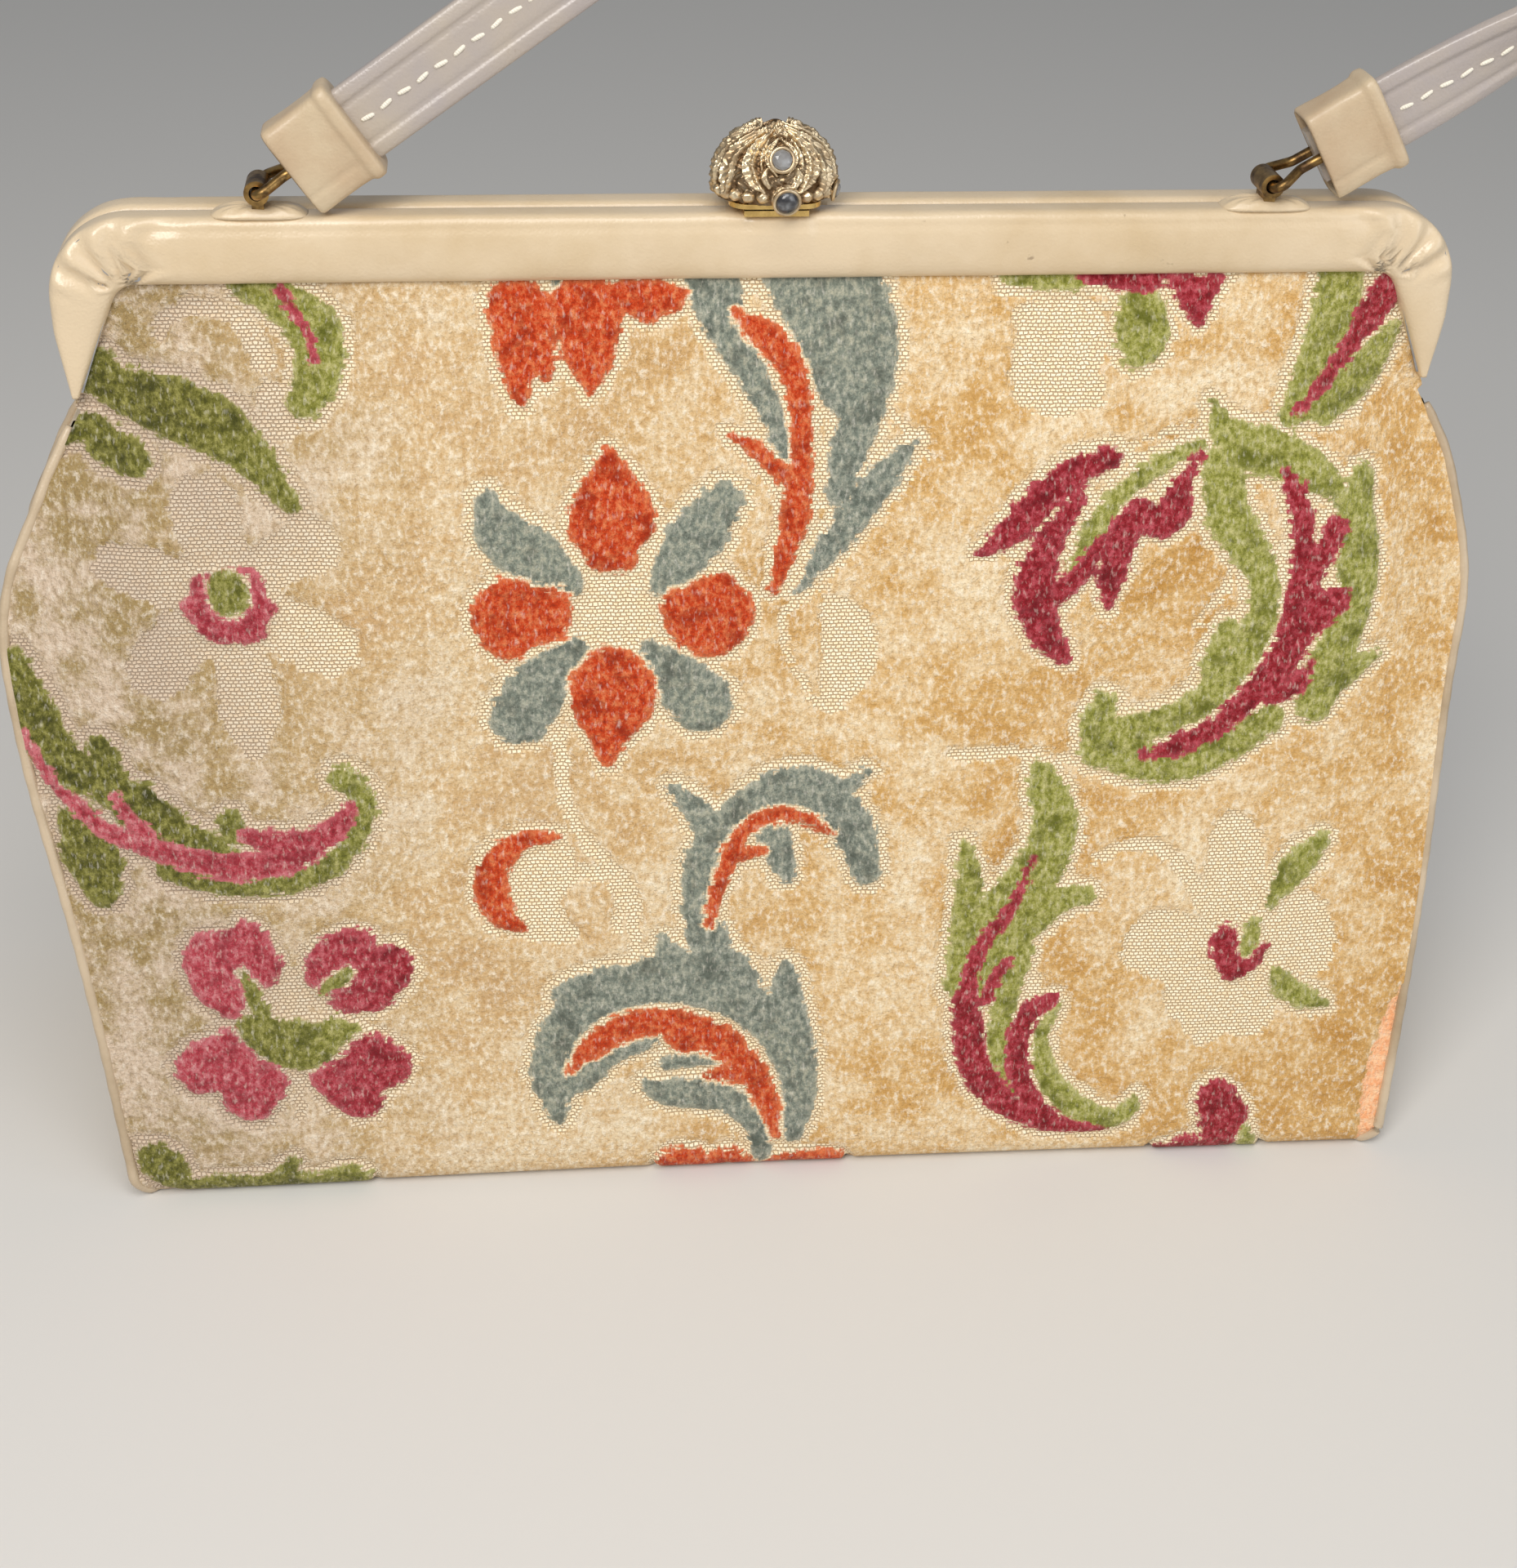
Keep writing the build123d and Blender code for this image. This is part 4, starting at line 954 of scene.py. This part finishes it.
def make_lining_cloth():
    """Lining twill: matt, with fine slanting ribs about 0.8 mm apart."""
    material, shader = finish("cotton_lining_twill", "#B79E78", 0.9)
    place = object_place(material)
    rib = add(
        material, "ShaderNodeTexWave", {"Vector": place, "Scale": 390.0, "Distortion": 0.6},
        bands_direction="DIAGONAL",
    ).outputs["Fac"]
    share = ramp(material, sum_of(material, rib, 0.25, speckle(material, place, 30.0, 4.0)), 0.4, 0.9)
    tint = blend_colours(material, share, shade("#A98F68"), shade("#C6B08C"))
    feed(material, shader, "Base Color", tint)
    roughen(material, shader, rib, 0.3, 0.0003)
    shader.inputs["Sheen Weight"].default_value = 0.2
    return material


lining_cloth = make_lining_cloth()


def lining_surface(face):
    """Inside of the front or back: the seam's side section drawn in, with slow puckers."""
    line = rounded_line(
        [(NECK - 2.6, BAND_Z + 1.5), (NECK - 2.6, HINGE_Z), (BELLY - LINING_IN, BELLY_Z),
         (FOOT - LINING_IN - 0.5, LINING_FLOOR), (0, LINING_FLOOR)],
        [25, 150, 8],
    )
    line = evenly(line, 120)
    share, row = np.meshgrid(np.linspace(-1, 1, 130), np.arange(120))
    z = line[row, 1]
    half = np.where(z > HINGE_Z, half_width(z) - 6, half_width(z) - LINING_SIDE)
    half = np.minimum(half, half_width(HINGE_Z) - 6)
    x = share * half + slump(z)
    fold = 0.7 * np.sin(x / 7 + z / 40) * ease((line[row, 0] - 8) / 12) * ease((z - 8) / 10)
    return np.stack([x, face * (line[row, 0] - 0.7 + fold) + swing(x, z, face), z], -1)


for face, side, leaf in ((-1, "front", "front_leaf"), (1, "back", "back_leaf")):
    lining = skin(f"lining_{side}", lining_surface(face), lining_cloth, turn_over=face > 0)
    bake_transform(lining)
    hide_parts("lining")

for side, name in ((-1, "left"), (1, "right")):
    drop = np.linspace(HINGE_Z - 8, LINING_FLOOR, 70)
    z, share = np.meshgrid(drop, np.linspace(-1, 1, 40), indexing="ij")
    x = half_width(z) - LINING_SIDE - 1.5 * np.exp(-((share / 0.4) ** 2)) * ease((z - 60) / 60)
    depth = np.maximum(seam_depth(z) - LINING_IN - 0.8, 2)
    x = side * x + slump(z)
    y = share * depth + swing_between(x, z, share)
    points = np.stack([x, y, z], -1)
    wall = skin(f"lining_{name}", points, lining_cloth, turn_over=side < 0)
    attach(wall, "bag")

drop = np.linspace(POCKET_HIGH, POCKET_LOW, 50)
z, share = np.meshgrid(drop, np.linspace(-1, 1, 90), indexing="ij")
behind = seam_depth(z) - LINING_IN - 1.9
loose = 0.8 * (1 - share**2) * ease((z - POCKET_LOW) / 60)
gather = 0.35 * np.sin(share * 55) * ease((z - POCKET_HIGH + 14) / 12)
hem = 0.45 * ease((z - POCKET_HIGH + 9) / 0.8)
points = np.stack([share * POCKET_HALF, behind - loose - gather - hem, z], -1)
pocket = skin("pocket_patch", points, lining_cloth)
wall = pocket.modifiers.new("thickness", "SOLIDIFY")
wall.thickness = 0.6 * MM
wall.offset = -1
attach(pocket, "bag")
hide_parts("inner_pocket")

# ------------------------------------------------------------------ handle strap
# A flat strap of greyish vinyl folded over a cord at each edge and stitched down its middle
# with white thread. It leaves the left cap face forwards, turns edge on towards the top of
# its bend, and comes back to face forwards at the right cap.

STRAP_HALF_WIDTH = 8.0
STRAP_HALF_THICK = 2.0
LEAN_LEFT = 35.0
LEAN_RIGHT = 31.0
RIGHT_RUN = 28.0
STITCH_PITCH = 4.5
STITCH_LENGTH = 3.1
CAP_LENGTH = 16.0
CAP_HALF_WIDTH = 10.0
CAP_HALF_DEPTH = 5.4


def heading(angle):
    """Unit vector in the front view at an angle above level, in degrees."""
    return np.array([math.cos(math.radians(angle)), 0.0, math.sin(math.radians(angle))])


BAIL_LEAN = 30.0
BAIL_REACH = 13.5        # from the lug's axis to the loop inside the cap
LUG_LEFT = 500 * (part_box("lug_left")[0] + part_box("lug_left")[1])
LUG_RIGHT = 500 * (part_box("lug_right")[0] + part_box("lug_right")[1])
LUG_AXIS_Z = 1000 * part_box("lug_left")[1].z - 2.5
reach_in = heading(BAIL_LEAN) * BAIL_REACH
left_pivot = np.array([LUG_LEFT.x, LUG_LEFT.y, LUG_AXIS_Z]) + reach_in
right_pivot = np.array([LUG_RIGHT.x, LUG_RIGHT.y, LUG_AXIS_Z]) + reach_in
left_mouth = left_pivot - heading(LEAN_LEFT) * 5.6
right_mouth = right_pivot - heading(LEAN_RIGHT) * 2.4
strap_from = left_mouth + heading(LEAN_LEFT) * CAP_LENGTH
strap_to = right_mouth + heading(LEAN_RIGHT) * CAP_LENGTH
bend_end = strap_to + heading(LEAN_RIGHT) * RIGHT_RUN

# The bend is one arc that touches both straight runs.
span = bend_end - strap_from
side_step = heading(LEAN_LEFT - 90) - heading(LEAN_RIGHT + 90)
run_way = heading(LEAN_LEFT)
scale_down = run_way[0] * side_step[2] - run_way[2] * side_step[0]
left_run = (span[0] * side_step[2] - span[2] * side_step[0]) / scale_down
bend_radius = (run_way[0] * span[2] - run_way[2] * span[0]) / scale_down
turn_angle = 180 + LEAN_LEFT - LEAN_RIGHT
bend_centre = strap_from + run_way * left_run + heading(LEAN_LEFT - 90) * bend_radius
bend_length = math.radians(turn_angle) * bend_radius
strap_length = left_run + bend_length + RIGHT_RUN


def strap_frame(along):
    """Centre, forward, wide and face directions of the strap at distances along it.

    Two straight runs joined by one arc, and a twist that eases from 0 at the caps to 90
    degrees at the top of the bend.
    """
    centres, ways = [], []
    for place in np.atleast_1d(along):
        past = place - left_run
        if past <= 0:
            centres.append(strap_from + run_way * place)
            ways.append(LEAN_LEFT)
        elif past <= bend_length:
            angle = LEAN_LEFT - math.degrees(past / bend_radius)
            centres.append(bend_centre + heading(angle + 90) * bend_radius)
            ways.append(angle)
        else:
            centres.append(strap_to + heading(LEAN_RIGHT) * (strap_length - place))
            ways.append(LEAN_RIGHT - 180)
    ways = np.array(ways)
    along = np.atleast_1d(along)
    rise = np.minimum((along - 70) / (left_run - 50), (strap_length - along) / 90)
    twist = np.radians(90) * ease(rise)[:, None]
    forward = np.stack([heading(angle) for angle in ways])
    inward = np.stack([heading(angle - 90) for angle in ways])
    wide = inward * np.cos(twist) + np.array([0, -1.0, 0]) * np.sin(twist)
    return np.array(centres), forward, wide, np.cross(wide, forward)


def strap_skin():
    """Strap section carried along the handle: a rounded slab whose half thickness drops in a
    groove 3.4 mm from each edge, swells over the edge cords and dips between stitches."""
    along = np.linspace(-1.5, strap_length + 1.5, 440)
    on_strap = np.clip(along, 0, strap_length)
    centre, forward, wide, face = strap_frame(on_strap)
    centre = centre + forward * (along - on_strap)[:, None]
    turn = np.linspace(0, 2 * np.pi, 72, endpoint=False)
    across = STRAP_HALF_WIDTH * squared(np.cos(turn), 0.7)
    slab = squared(np.sin(turn), 0.42)
    groove = 0.75 * np.exp(-(((np.abs(across) - 4.4) / 0.55) ** 2))
    belly = 0.35 * (1 - ease((np.abs(across) - 3.6) / 0.8))
    thick = (STRAP_HALF_THICK - 0.15) - groove - belly
    between = (np.sin(along * 2 * np.pi / STITCH_PITCH) ** 4)[:, None]
    dip = 0.28 * np.exp(-((across / 0.9) ** 2)) * between
    slow = 0.1 * np.sin(along / 9)[:, None] * np.sin(turn * 3)
    high = slab * (thick - dip + slow)
    return centre[:, None] + wide[:, None] * across[None, :, None] + face[:, None] * high[..., None]


strap_vinyl = make_vinyl("handle_vinyl", "#A99F9A", "#B5A897", 0.34)
strap = skin("strap_body", strap_skin(), strap_vinyl, ring=True, lids=True)
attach(strap, "handle")
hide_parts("strap")

thread, thread_shader = finish("waxed_cotton_thread", "#EDE6D6", 0.6)
ply = add(
    thread, "ShaderNodeTexWave",
    {"Vector": object_place(thread), "Scale": 900.0}, bands_direction="DIAGONAL",
)
roughen(thread, thread_shader, ply.outputs["Fac"], 0.4, 0.0002)

STITCH_RINGS = 7
STITCH_SIDES = 8
turn = np.linspace(0, 2 * np.pi, STITCH_SIDES, endpoint=False)
part = np.linspace(0, np.pi, STITCH_RINGS)
grain_along = -np.cos(part)[:, None] * np.ones(STITCH_SIDES) * STITCH_LENGTH / 2
grain_wide = (np.sin(part) ** 0.5)[:, None] * np.cos(turn) * 0.5
grain_high = (np.sin(part) ** 0.5)[:, None] * np.sin(turn) * 0.34
stitch_points, stitch_faces = [], []
for index, along in enumerate(np.arange(3, strap_length - 3, STITCH_PITCH)):
    centre, forward, wide, face = (value[0] for value in strap_frame(along))
    for side in (-1, 1):
        seat = centre + face * side * 1.42
        lean = wide * 0.12 * (-1) ** index
        points = seat + grain_along[..., None] * (forward + lean)
        points = points + grain_wide[..., None] * wide + grain_high[..., None] * face
        start = sum(len(grain) for grain in stitch_points)
        grid = np.arange(STITCH_RINGS * STITCH_SIDES).reshape(STITCH_RINGS, STITCH_SIDES) + start
        grid = np.hstack([grid, grid[:, :1]])
        cells = np.stack([grid[:-1, :-1], grid[:-1, 1:], grid[1:, 1:], grid[1:, :-1]], -1)
        stitch_faces += cells.reshape(-1, 4).tolist()
        stitch_points.append(points.reshape(-1, 3))
mesh = bpy.data.meshes.new("strap_stitches")
mesh.from_pydata((np.concatenate(stitch_points) * MM).tolist(), [], stitch_faces)
mesh.shade_smooth()
mesh.materials.append(thread)
stitches = bpy.data.objects.new("strap_stitches", mesh)
bpy.context.scene.collection.objects.link(stitches)
welder = bmesh.new()
welder.from_mesh(mesh)
bmesh.ops.remove_doubles(welder, verts=welder.verts, dist=0.00002)
bmesh.ops.recalc_face_normals(welder, faces=welder.faces)
welder.to_mesh(mesh)
welder.free()
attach(stitches, "handle")

# ------------------------------------------------------------------ strap caps
# Moulded vinyl sleeves at the strap's ends, flat sided with rounded corners and a raised lip
# where the strap goes in. The open mouth lets the wire bail's end in to the strap's loop.

CAP_PROFILE = [(12.4, 4.6), (12.4, 1.4), (11.8, 0.9), (6, 0.85), (1, 0.8), (0.25, 0.7), (0, 0.42),
               (0.2, 0.12), (0.9, 0.0), (5, 0.12), (10, 0.1), (12.6, 0.0), (13.1, -0.15), (13.5, -0.55),
               (14.6, -0.65), (15.6, -0.5), (16.1, 0.1), (16.2, 1.2), (16.0, 3.2)]


def cap_skin(mouth, lean):
    """Sleeve lofted along its length: each profile step is a place along and an inset, and the
    section there is a superellipse of power 6, with slack dents on its two wide faces."""
    steps = evenly(np.array(CAP_PROFILE, float), 64)
    turn = np.linspace(0, 2 * np.pi, 96, endpoint=False)
    along = steps[:, :1]
    inset = steps[:, 1:]
    outer = ease((0.6 - inset) / 0.5)
    wide = (CAP_HALF_WIDTH - inset) * squared(np.cos(turn), 2 / 6)
    deep = (CAP_HALF_DEPTH - inset) * squared(np.sin(turn), 2 / 6)
    dent = 0.3 * np.sin(along / 3.1 + wide / 4) * np.cos(wide / 3.3 - along / 5) * outer
    edge = 0.35 * np.exp(-(((wide - 5.6) / 0.5) ** 2)) * outer * ease((12.5 - along) / 1)
    deep = deep + np.sign(np.sin(turn)) * (dent - edge - 0.25)
    forward, across = heading(lean), heading(lean - 90)
    facing = np.array([0, 1.0, 0])
    return mouth + along[..., None] * forward + wide[..., None] * across + deep[..., None] * facing


cap_vinyl = make_vinyl("moulded_cap_vinyl", "#CAB798", "#B79C7C", 0.5)
for name, mouth, lean in (("left", left_mouth, LEAN_LEFT), ("right", right_mouth, LEAN_RIGHT)):
    rings = cap_skin(mouth, lean)
    cap = skin(f"cap_skin_{name}", rings, cap_vinyl, ring=True, lids=True, turn_over=True)
    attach(cap, "handle")
    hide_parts(f"cap_{name}")

# The vinyl is pulled up over the flat foot of each lug, and shows as a low puckered swelling.
SEAT_HALF_WIDTH = 10.0
SEAT_HALF_DEPTH = 4.1
for name, lug in (("left", LUG_LEFT), ("right", LUG_RIGHT)):
    around = np.linspace(0, 2 * np.pi, 72, endpoint=False)
    share, turn = np.meshgrid(np.linspace(1, 0.03, 18), around, indexing="ij")
    x = lug.x + SEAT_HALF_WIDTH * share * squared(np.cos(turn), 0.6)
    y = lug.y + SEAT_HALF_DEPTH * share * squared(np.sin(turn), 0.6)
    gather = 0.14 * np.cos(11 * turn) * np.sin(np.pi * share)
    z = LUG_AXIS_Z - 5.3 + 2.1 * (1 - share**5) + gather
    seat = skin(f"lug_seat_{name}", np.stack([x, y, z], -1), vinyl, ring=True, lids=True)
    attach(seat, "front_leaf")

# ------------------------------------------------------------------ clasp dome
# A cast, gilded dome covered in curling leaves, which stand 1 mm proud of a darkened ground.
# A row of beads runs round its foot. It carries two small faceted stones and a round grey one.

dome_low, dome_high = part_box("clasp_dome")
DOME_MIDDLE = 500 * (dome_low + dome_high)
DOME_HALF_WIDE = 13.0
DOME_HALF_DEEP = 9.2
DOME_RISE = 11.5
DOME_FOOT = 4.0
DOME_UNDER = 19          # degrees that the dome turns in below its widest line
LEAF_HEIGHT = 1.25
DOME_LEAVES = [
    [(2, 54, 2), (-11, 42, 5), (-13, 28, 4.5), (-2, 12, 2)],
    [(4, 54, 2), (17, 42, 5), (19, 28, 4.5), (8, 12, 2)],
    [(-12, -6, 2), (-26, 6, 7), (-34, 26, 8), (-28, 48, 6), (-8, 66, 3)],
    [(20, -6, 2), (33, 6, 7), (41, 26, 8), (35, 48, 6), (14, 66, 3)],
    [(-17, 18, 1.5), (-20, 34, 3), (-14, 52, 1.5)],
    [(25, 18, 1.5), (27, 34, 3), (21, 52, 1.5)],
    [(-9, 0, 3), (-15, 10, 4), (-12, 19, 2)],
    [(16, 0, 3), (22, 10, 4), (19, 19, 2)],
    [(-30, 62, 5), (-8, 74, 9), (22, 74, 9), (44, 62, 5)],
    [(-6, 58, 4), (4, 66, 6), (14, 58, 4)],
]
for turn_by in range(52, 180, 27):
    for side in (-1, 1):
        DOME_LEAVES.append([(side * turn_by - 6, -14, 2), (side * (turn_by + 4), 4, 9),
                            (side * (turn_by + 7), 26, 10), (side * (turn_by - 6), 50, 9),
                            (side * (turn_by - 30), 70, 6)])
DOME_CENTRE = np.array([DOME_MIDDLE.x, DOME_MIDDLE.y, 1000 * dome_low.z + DOME_FOOT])


def dome_skin():
    """Half of an ellipsoid pushed out by its leaves: each leaf is a stroke in degrees round and
    up, with a groove down its middle, and the beads are bumps 15 degrees apart at the foot."""
    bearings = np.linspace(-180, 180, 360, endpoint=False)
    up, around = np.meshgrid(np.linspace(-DOME_UNDER, 90, 150), bearings, indexing="ij")
    relief = np.zeros(up.shape)
    squeeze = np.cos(np.radians(np.clip(up, 0, 80)))
    for stroke in DOME_LEAVES:
        depth = np.full(up.shape, -9.0)
        for shift in (-360, 0, 360):
            depth = np.maximum(depth, stroke_depth(around + shift, up, stroke))
        widest = max(point[2] for point in stroke)
        hump = ease(depth / 2.2) * (0.72 + 0.28 * np.cos(depth / widest * np.pi * 1.1))
        relief = np.maximum(relief * (1 - 0.35 * ease((depth + 1.5) / 1.5)), hump)
    ribs = 0.1 * np.sin(up * 0.75 + np.abs(around) * 0.5) * relief
    bead = np.hypot((around + 7.5) % 15 - 7.5, (up + 11) * 1.1)
    relief = np.maximum(relief, 1.05 * np.sqrt(np.clip(1 - (bead / 6.6) ** 2, 0, 1)))
    for bearing, rise, size in ((3, 28, 13), (8, -13, 15), (78, -12, 12)):
        seat = np.hypot((around - bearing) * squeeze, up - rise)
        pad = 0.55 * ease((size - seat) / 1.5) + relief * ease((seat - size + 2) / 2)
        relief = np.where(seat < size, pad, relief)
    crumb = 0.05 * np.sin(around * 1.7) * np.sin(up * 2.3)
    rough_round = np.sin(around * 0.5 + 2 * np.sin(up * 0.3))
    rough_up = np.sin(up * 0.47 + 1.7 * np.sin(around * 0.2))
    crumb = crumb + 0.16 * rough_round * rough_up
    swell = (relief + ribs + crumb - 0.75) * LEAF_HEIGHT * ease((90 - up) / 14)
    rad_up, rad_around = np.radians(up), np.radians(around)
    level = np.where(up < 0, DOME_FOOT / math.sin(math.radians(DOME_UNDER)), DOME_RISE)
    x = (DOME_HALF_WIDE + swell) * np.cos(rad_up) * np.sin(rad_around)
    y = -(DOME_HALF_DEEP + swell) * np.cos(rad_up) * np.cos(rad_around)
    z = (level + swell * (up > 0)) * np.sin(rad_up)
    return np.stack([x, y, z], -1) + DOME_CENTRE, relief


def make_metal(name, bright, dark, roughness, wear):
    """Plated metal: bright where it is rubbed, dark and duller in its hollows and stains."""
    material, shader = finish(name, bright, roughness, 1.0)
    stain = speckle(material, object_place(material), 260.0, 4.0, 0.65)
    rubbed = ramp(material, stain, 0.35, 0.65)
    share = sum_of(material, rubbed, -wear, wear)
    tint = blend_colours(material, share, shade(bright), shade(dark))
    if name == "gilded_cast_relief":
        height = add(material, "ShaderNodeAttribute", {}, attribute_name="relief").outputs["Fac"]
        hollow = ramp(material, sum_of(material, stain, 0.3, height), 0.5, 0.1)
        tint = blend_colours(material, hollow, tint, shade("#5A4128"))
    feed(material, shader, "Base Color", tint)
    feed(material, shader, "Roughness", sum_of(material, rubbed, -0.16, roughness + 0.1))
    roughen(material, shader, stain, 0.15, 0.0002)
    return material


gilt_relief = make_metal("gilded_cast_relief", "#EAD7B4", "#947654", 0.36, 0.75)
points, relief = dome_skin()
dome = skin("dome_relief", points, gilt_relief, ring=True, lids=True, turn_over=True)
mark(dome, "relief", relief)
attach(dome, "clasp")
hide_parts("clasp_dome")

# ------------------------------------------------------------------ clasp stones
# Two faceted glass stones, one at the upper front and a smaller one at the right, and a round
# grey polished stone at the lower front. Each is held in a plain ring.


def make_glass(name, colour, roughness):
    """Cut glass or polished stone: hard, clear gloss over a pale or dark body, with pale spots of
    painted sparkle highlight.
    """
    material, shader = finish(name, colour, roughness)
    # Painted highlight: pale spots that stand for the sparkle on the stones.
    sparkle_noise = speckle(material, object_place(material), 500.0, 2.0)
    pale = ramp(material, sparkle_noise, 0.35, 0.65)
    tint = blend_colours(material, pale, shade(colour), shade("#B9BCC0"))
    sparkle_share = sum_of(material, ramp(material, sparkle_noise, 0.3, 0.8), 0.4, 0.0)
    feed(material, shader, "Base Color", blend_colours(material, sparkle_share, shade(colour), tint))
    shader.inputs["IOR"].default_value = 1.5
    shader.inputs["Coat Weight"].default_value = 0.4
    shader.inputs["Coat Roughness"].default_value = 0.03
    return material


clear_stone = make_glass("cut_clear_glass", "#7E7B78", 0.08)
grey_stone = make_glass("polished_grey_stone", "#302F32", 0.2)


def stone_seat(bearing, rise):
    """Place on the dome and the outward direction at a bearing and a rise in degrees."""
    turn, up = math.radians(bearing), math.radians(rise)
    level = DOME_FOOT / math.sin(math.radians(DOME_UNDER)) if rise < 0 else DOME_RISE
    way = np.array([math.cos(up) * math.sin(turn), -math.cos(up) * math.cos(turn), math.sin(up)])
    size = np.array([DOME_HALF_WIDE, DOME_HALF_DEEP, level])
    out = way / size
    return DOME_CENTRE + way * size, out / np.linalg.norm(out)


def turned(seat, out, profile, sides, facets=False):
    """A profile of radius and height turned about the outward direction. Facets keep flat sides."""
    side = np.cross(out, (0, 0, 1.0))
    side /= np.linalg.norm(side)
    top = np.cross(side, out)
    turn = np.linspace(0, 2 * np.pi, sides, endpoint=False)[None, :, None]
    radius, height = np.array(profile, float).T
    shift = (np.arange(len(profile)) % 2 * np.pi / sides)[:, None, None] if facets else 0
    ring = np.cos(turn + shift) * side + np.sin(turn + shift) * top
    return seat + radius[:, None, None] * ring + height[:, None, None] * out


for name, bearing, rise, radius, kind in (
    ("stone_top", 3, 28, 2.1, clear_stone),
    ("stone_front", 8, -14, 2.35, grey_stone),
    ("stone_side", 78, -12, 1.7, clear_stone),
):
    seat, out = stone_seat(bearing, rise)
    if kind is clear_stone:
        cut = [(radius * 0.5, -0.6), (radius * 0.98, 0.1), (radius, 0.35), (radius * 0.8, 0.8),
               (radius * 0.52, 1.1)]
        stone = skin(f"{name}_cut", turned(seat, out, cut, 8, facets=True), kind, ring=True, lids=True)
        stone.data.shade_flat()
    else:
        arc = np.radians(np.linspace(-30, 84, 12))
        bead = np.stack([radius * np.cos(arc), radius * 0.62 * np.sin(arc) + 0.2], 1)
        stone = skin(f"{name}_cut", turned(seat, out, bead, 32), kind, ring=True, lids=True)
    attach(stone, "clasp")
    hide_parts(name)
    arc = np.linspace(0, 2 * np.pi, 12)
    collar = np.stack([radius + 0.25 + 0.42 * np.cos(arc), 0.15 + 0.42 * np.sin(arc)], 1)
    ring = skin(f"{name}_collar", turned(seat, out, collar, 40), gilt_relief, ring=True)
    mark(ring, "relief", np.full(len(ring.data.vertices), 0.8))
    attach(ring, "clasp")

# ------------------------------------------------------------------ metal fittings and hidden parts
# The lugs and wire bails are brass gone brown with age, rubbed gold on their high edges. The
# clasp's plates and the hinge rivets are gilded. The leaves and spring are plain steel, the strap
# loops are handle vinyl, and the stiffeners and the base board, inside the bag, are grey millboard.

aged_brass = make_metal("aged_brass", "#B08D55", "#4B3828", 0.36, 0.95)
gilt_plate = make_metal("gilded_plate", "#E3C078", "#A17F45", 0.26, 0.45)
plain_steel = make_metal("bright_steel", "#B9BABD", "#77777A", 0.32, 0.5)
millboard, board_shader = finish("grey_millboard", "#8C857B", 0.9)
fibre = speckle(millboard, object_place(millboard), 400.0, 4.0)
fibre_tint = blend_colours(millboard, fibre, shade("#7E776D"), shade("#9B9488"))
feed(millboard, board_shader, "Base Color", fibre_tint)

FITTINGS = {
    aged_brass: ["lug_left", "lug_right", "bail_left", "bail_right"],
    gilt_plate: ["strike_plate", "clasp_base", "clasp_bracket", "clasp_pin", "hinge_rivet_left",
                 "hinge_rivet_right"],
    plain_steel: ["frame_front", "frame_back", "clasp_spring"],
    strap_vinyl: ["strap_loop_left", "strap_loop_right"],
    millboard: ["stiffener_front", "stiffener_back", "base_board"],
}
for material, names in FITTINGS.items():
    for name in names:
        frame["nodes"][name].data.materials.clear()
        frame["nodes"][name].data.materials.append(material)
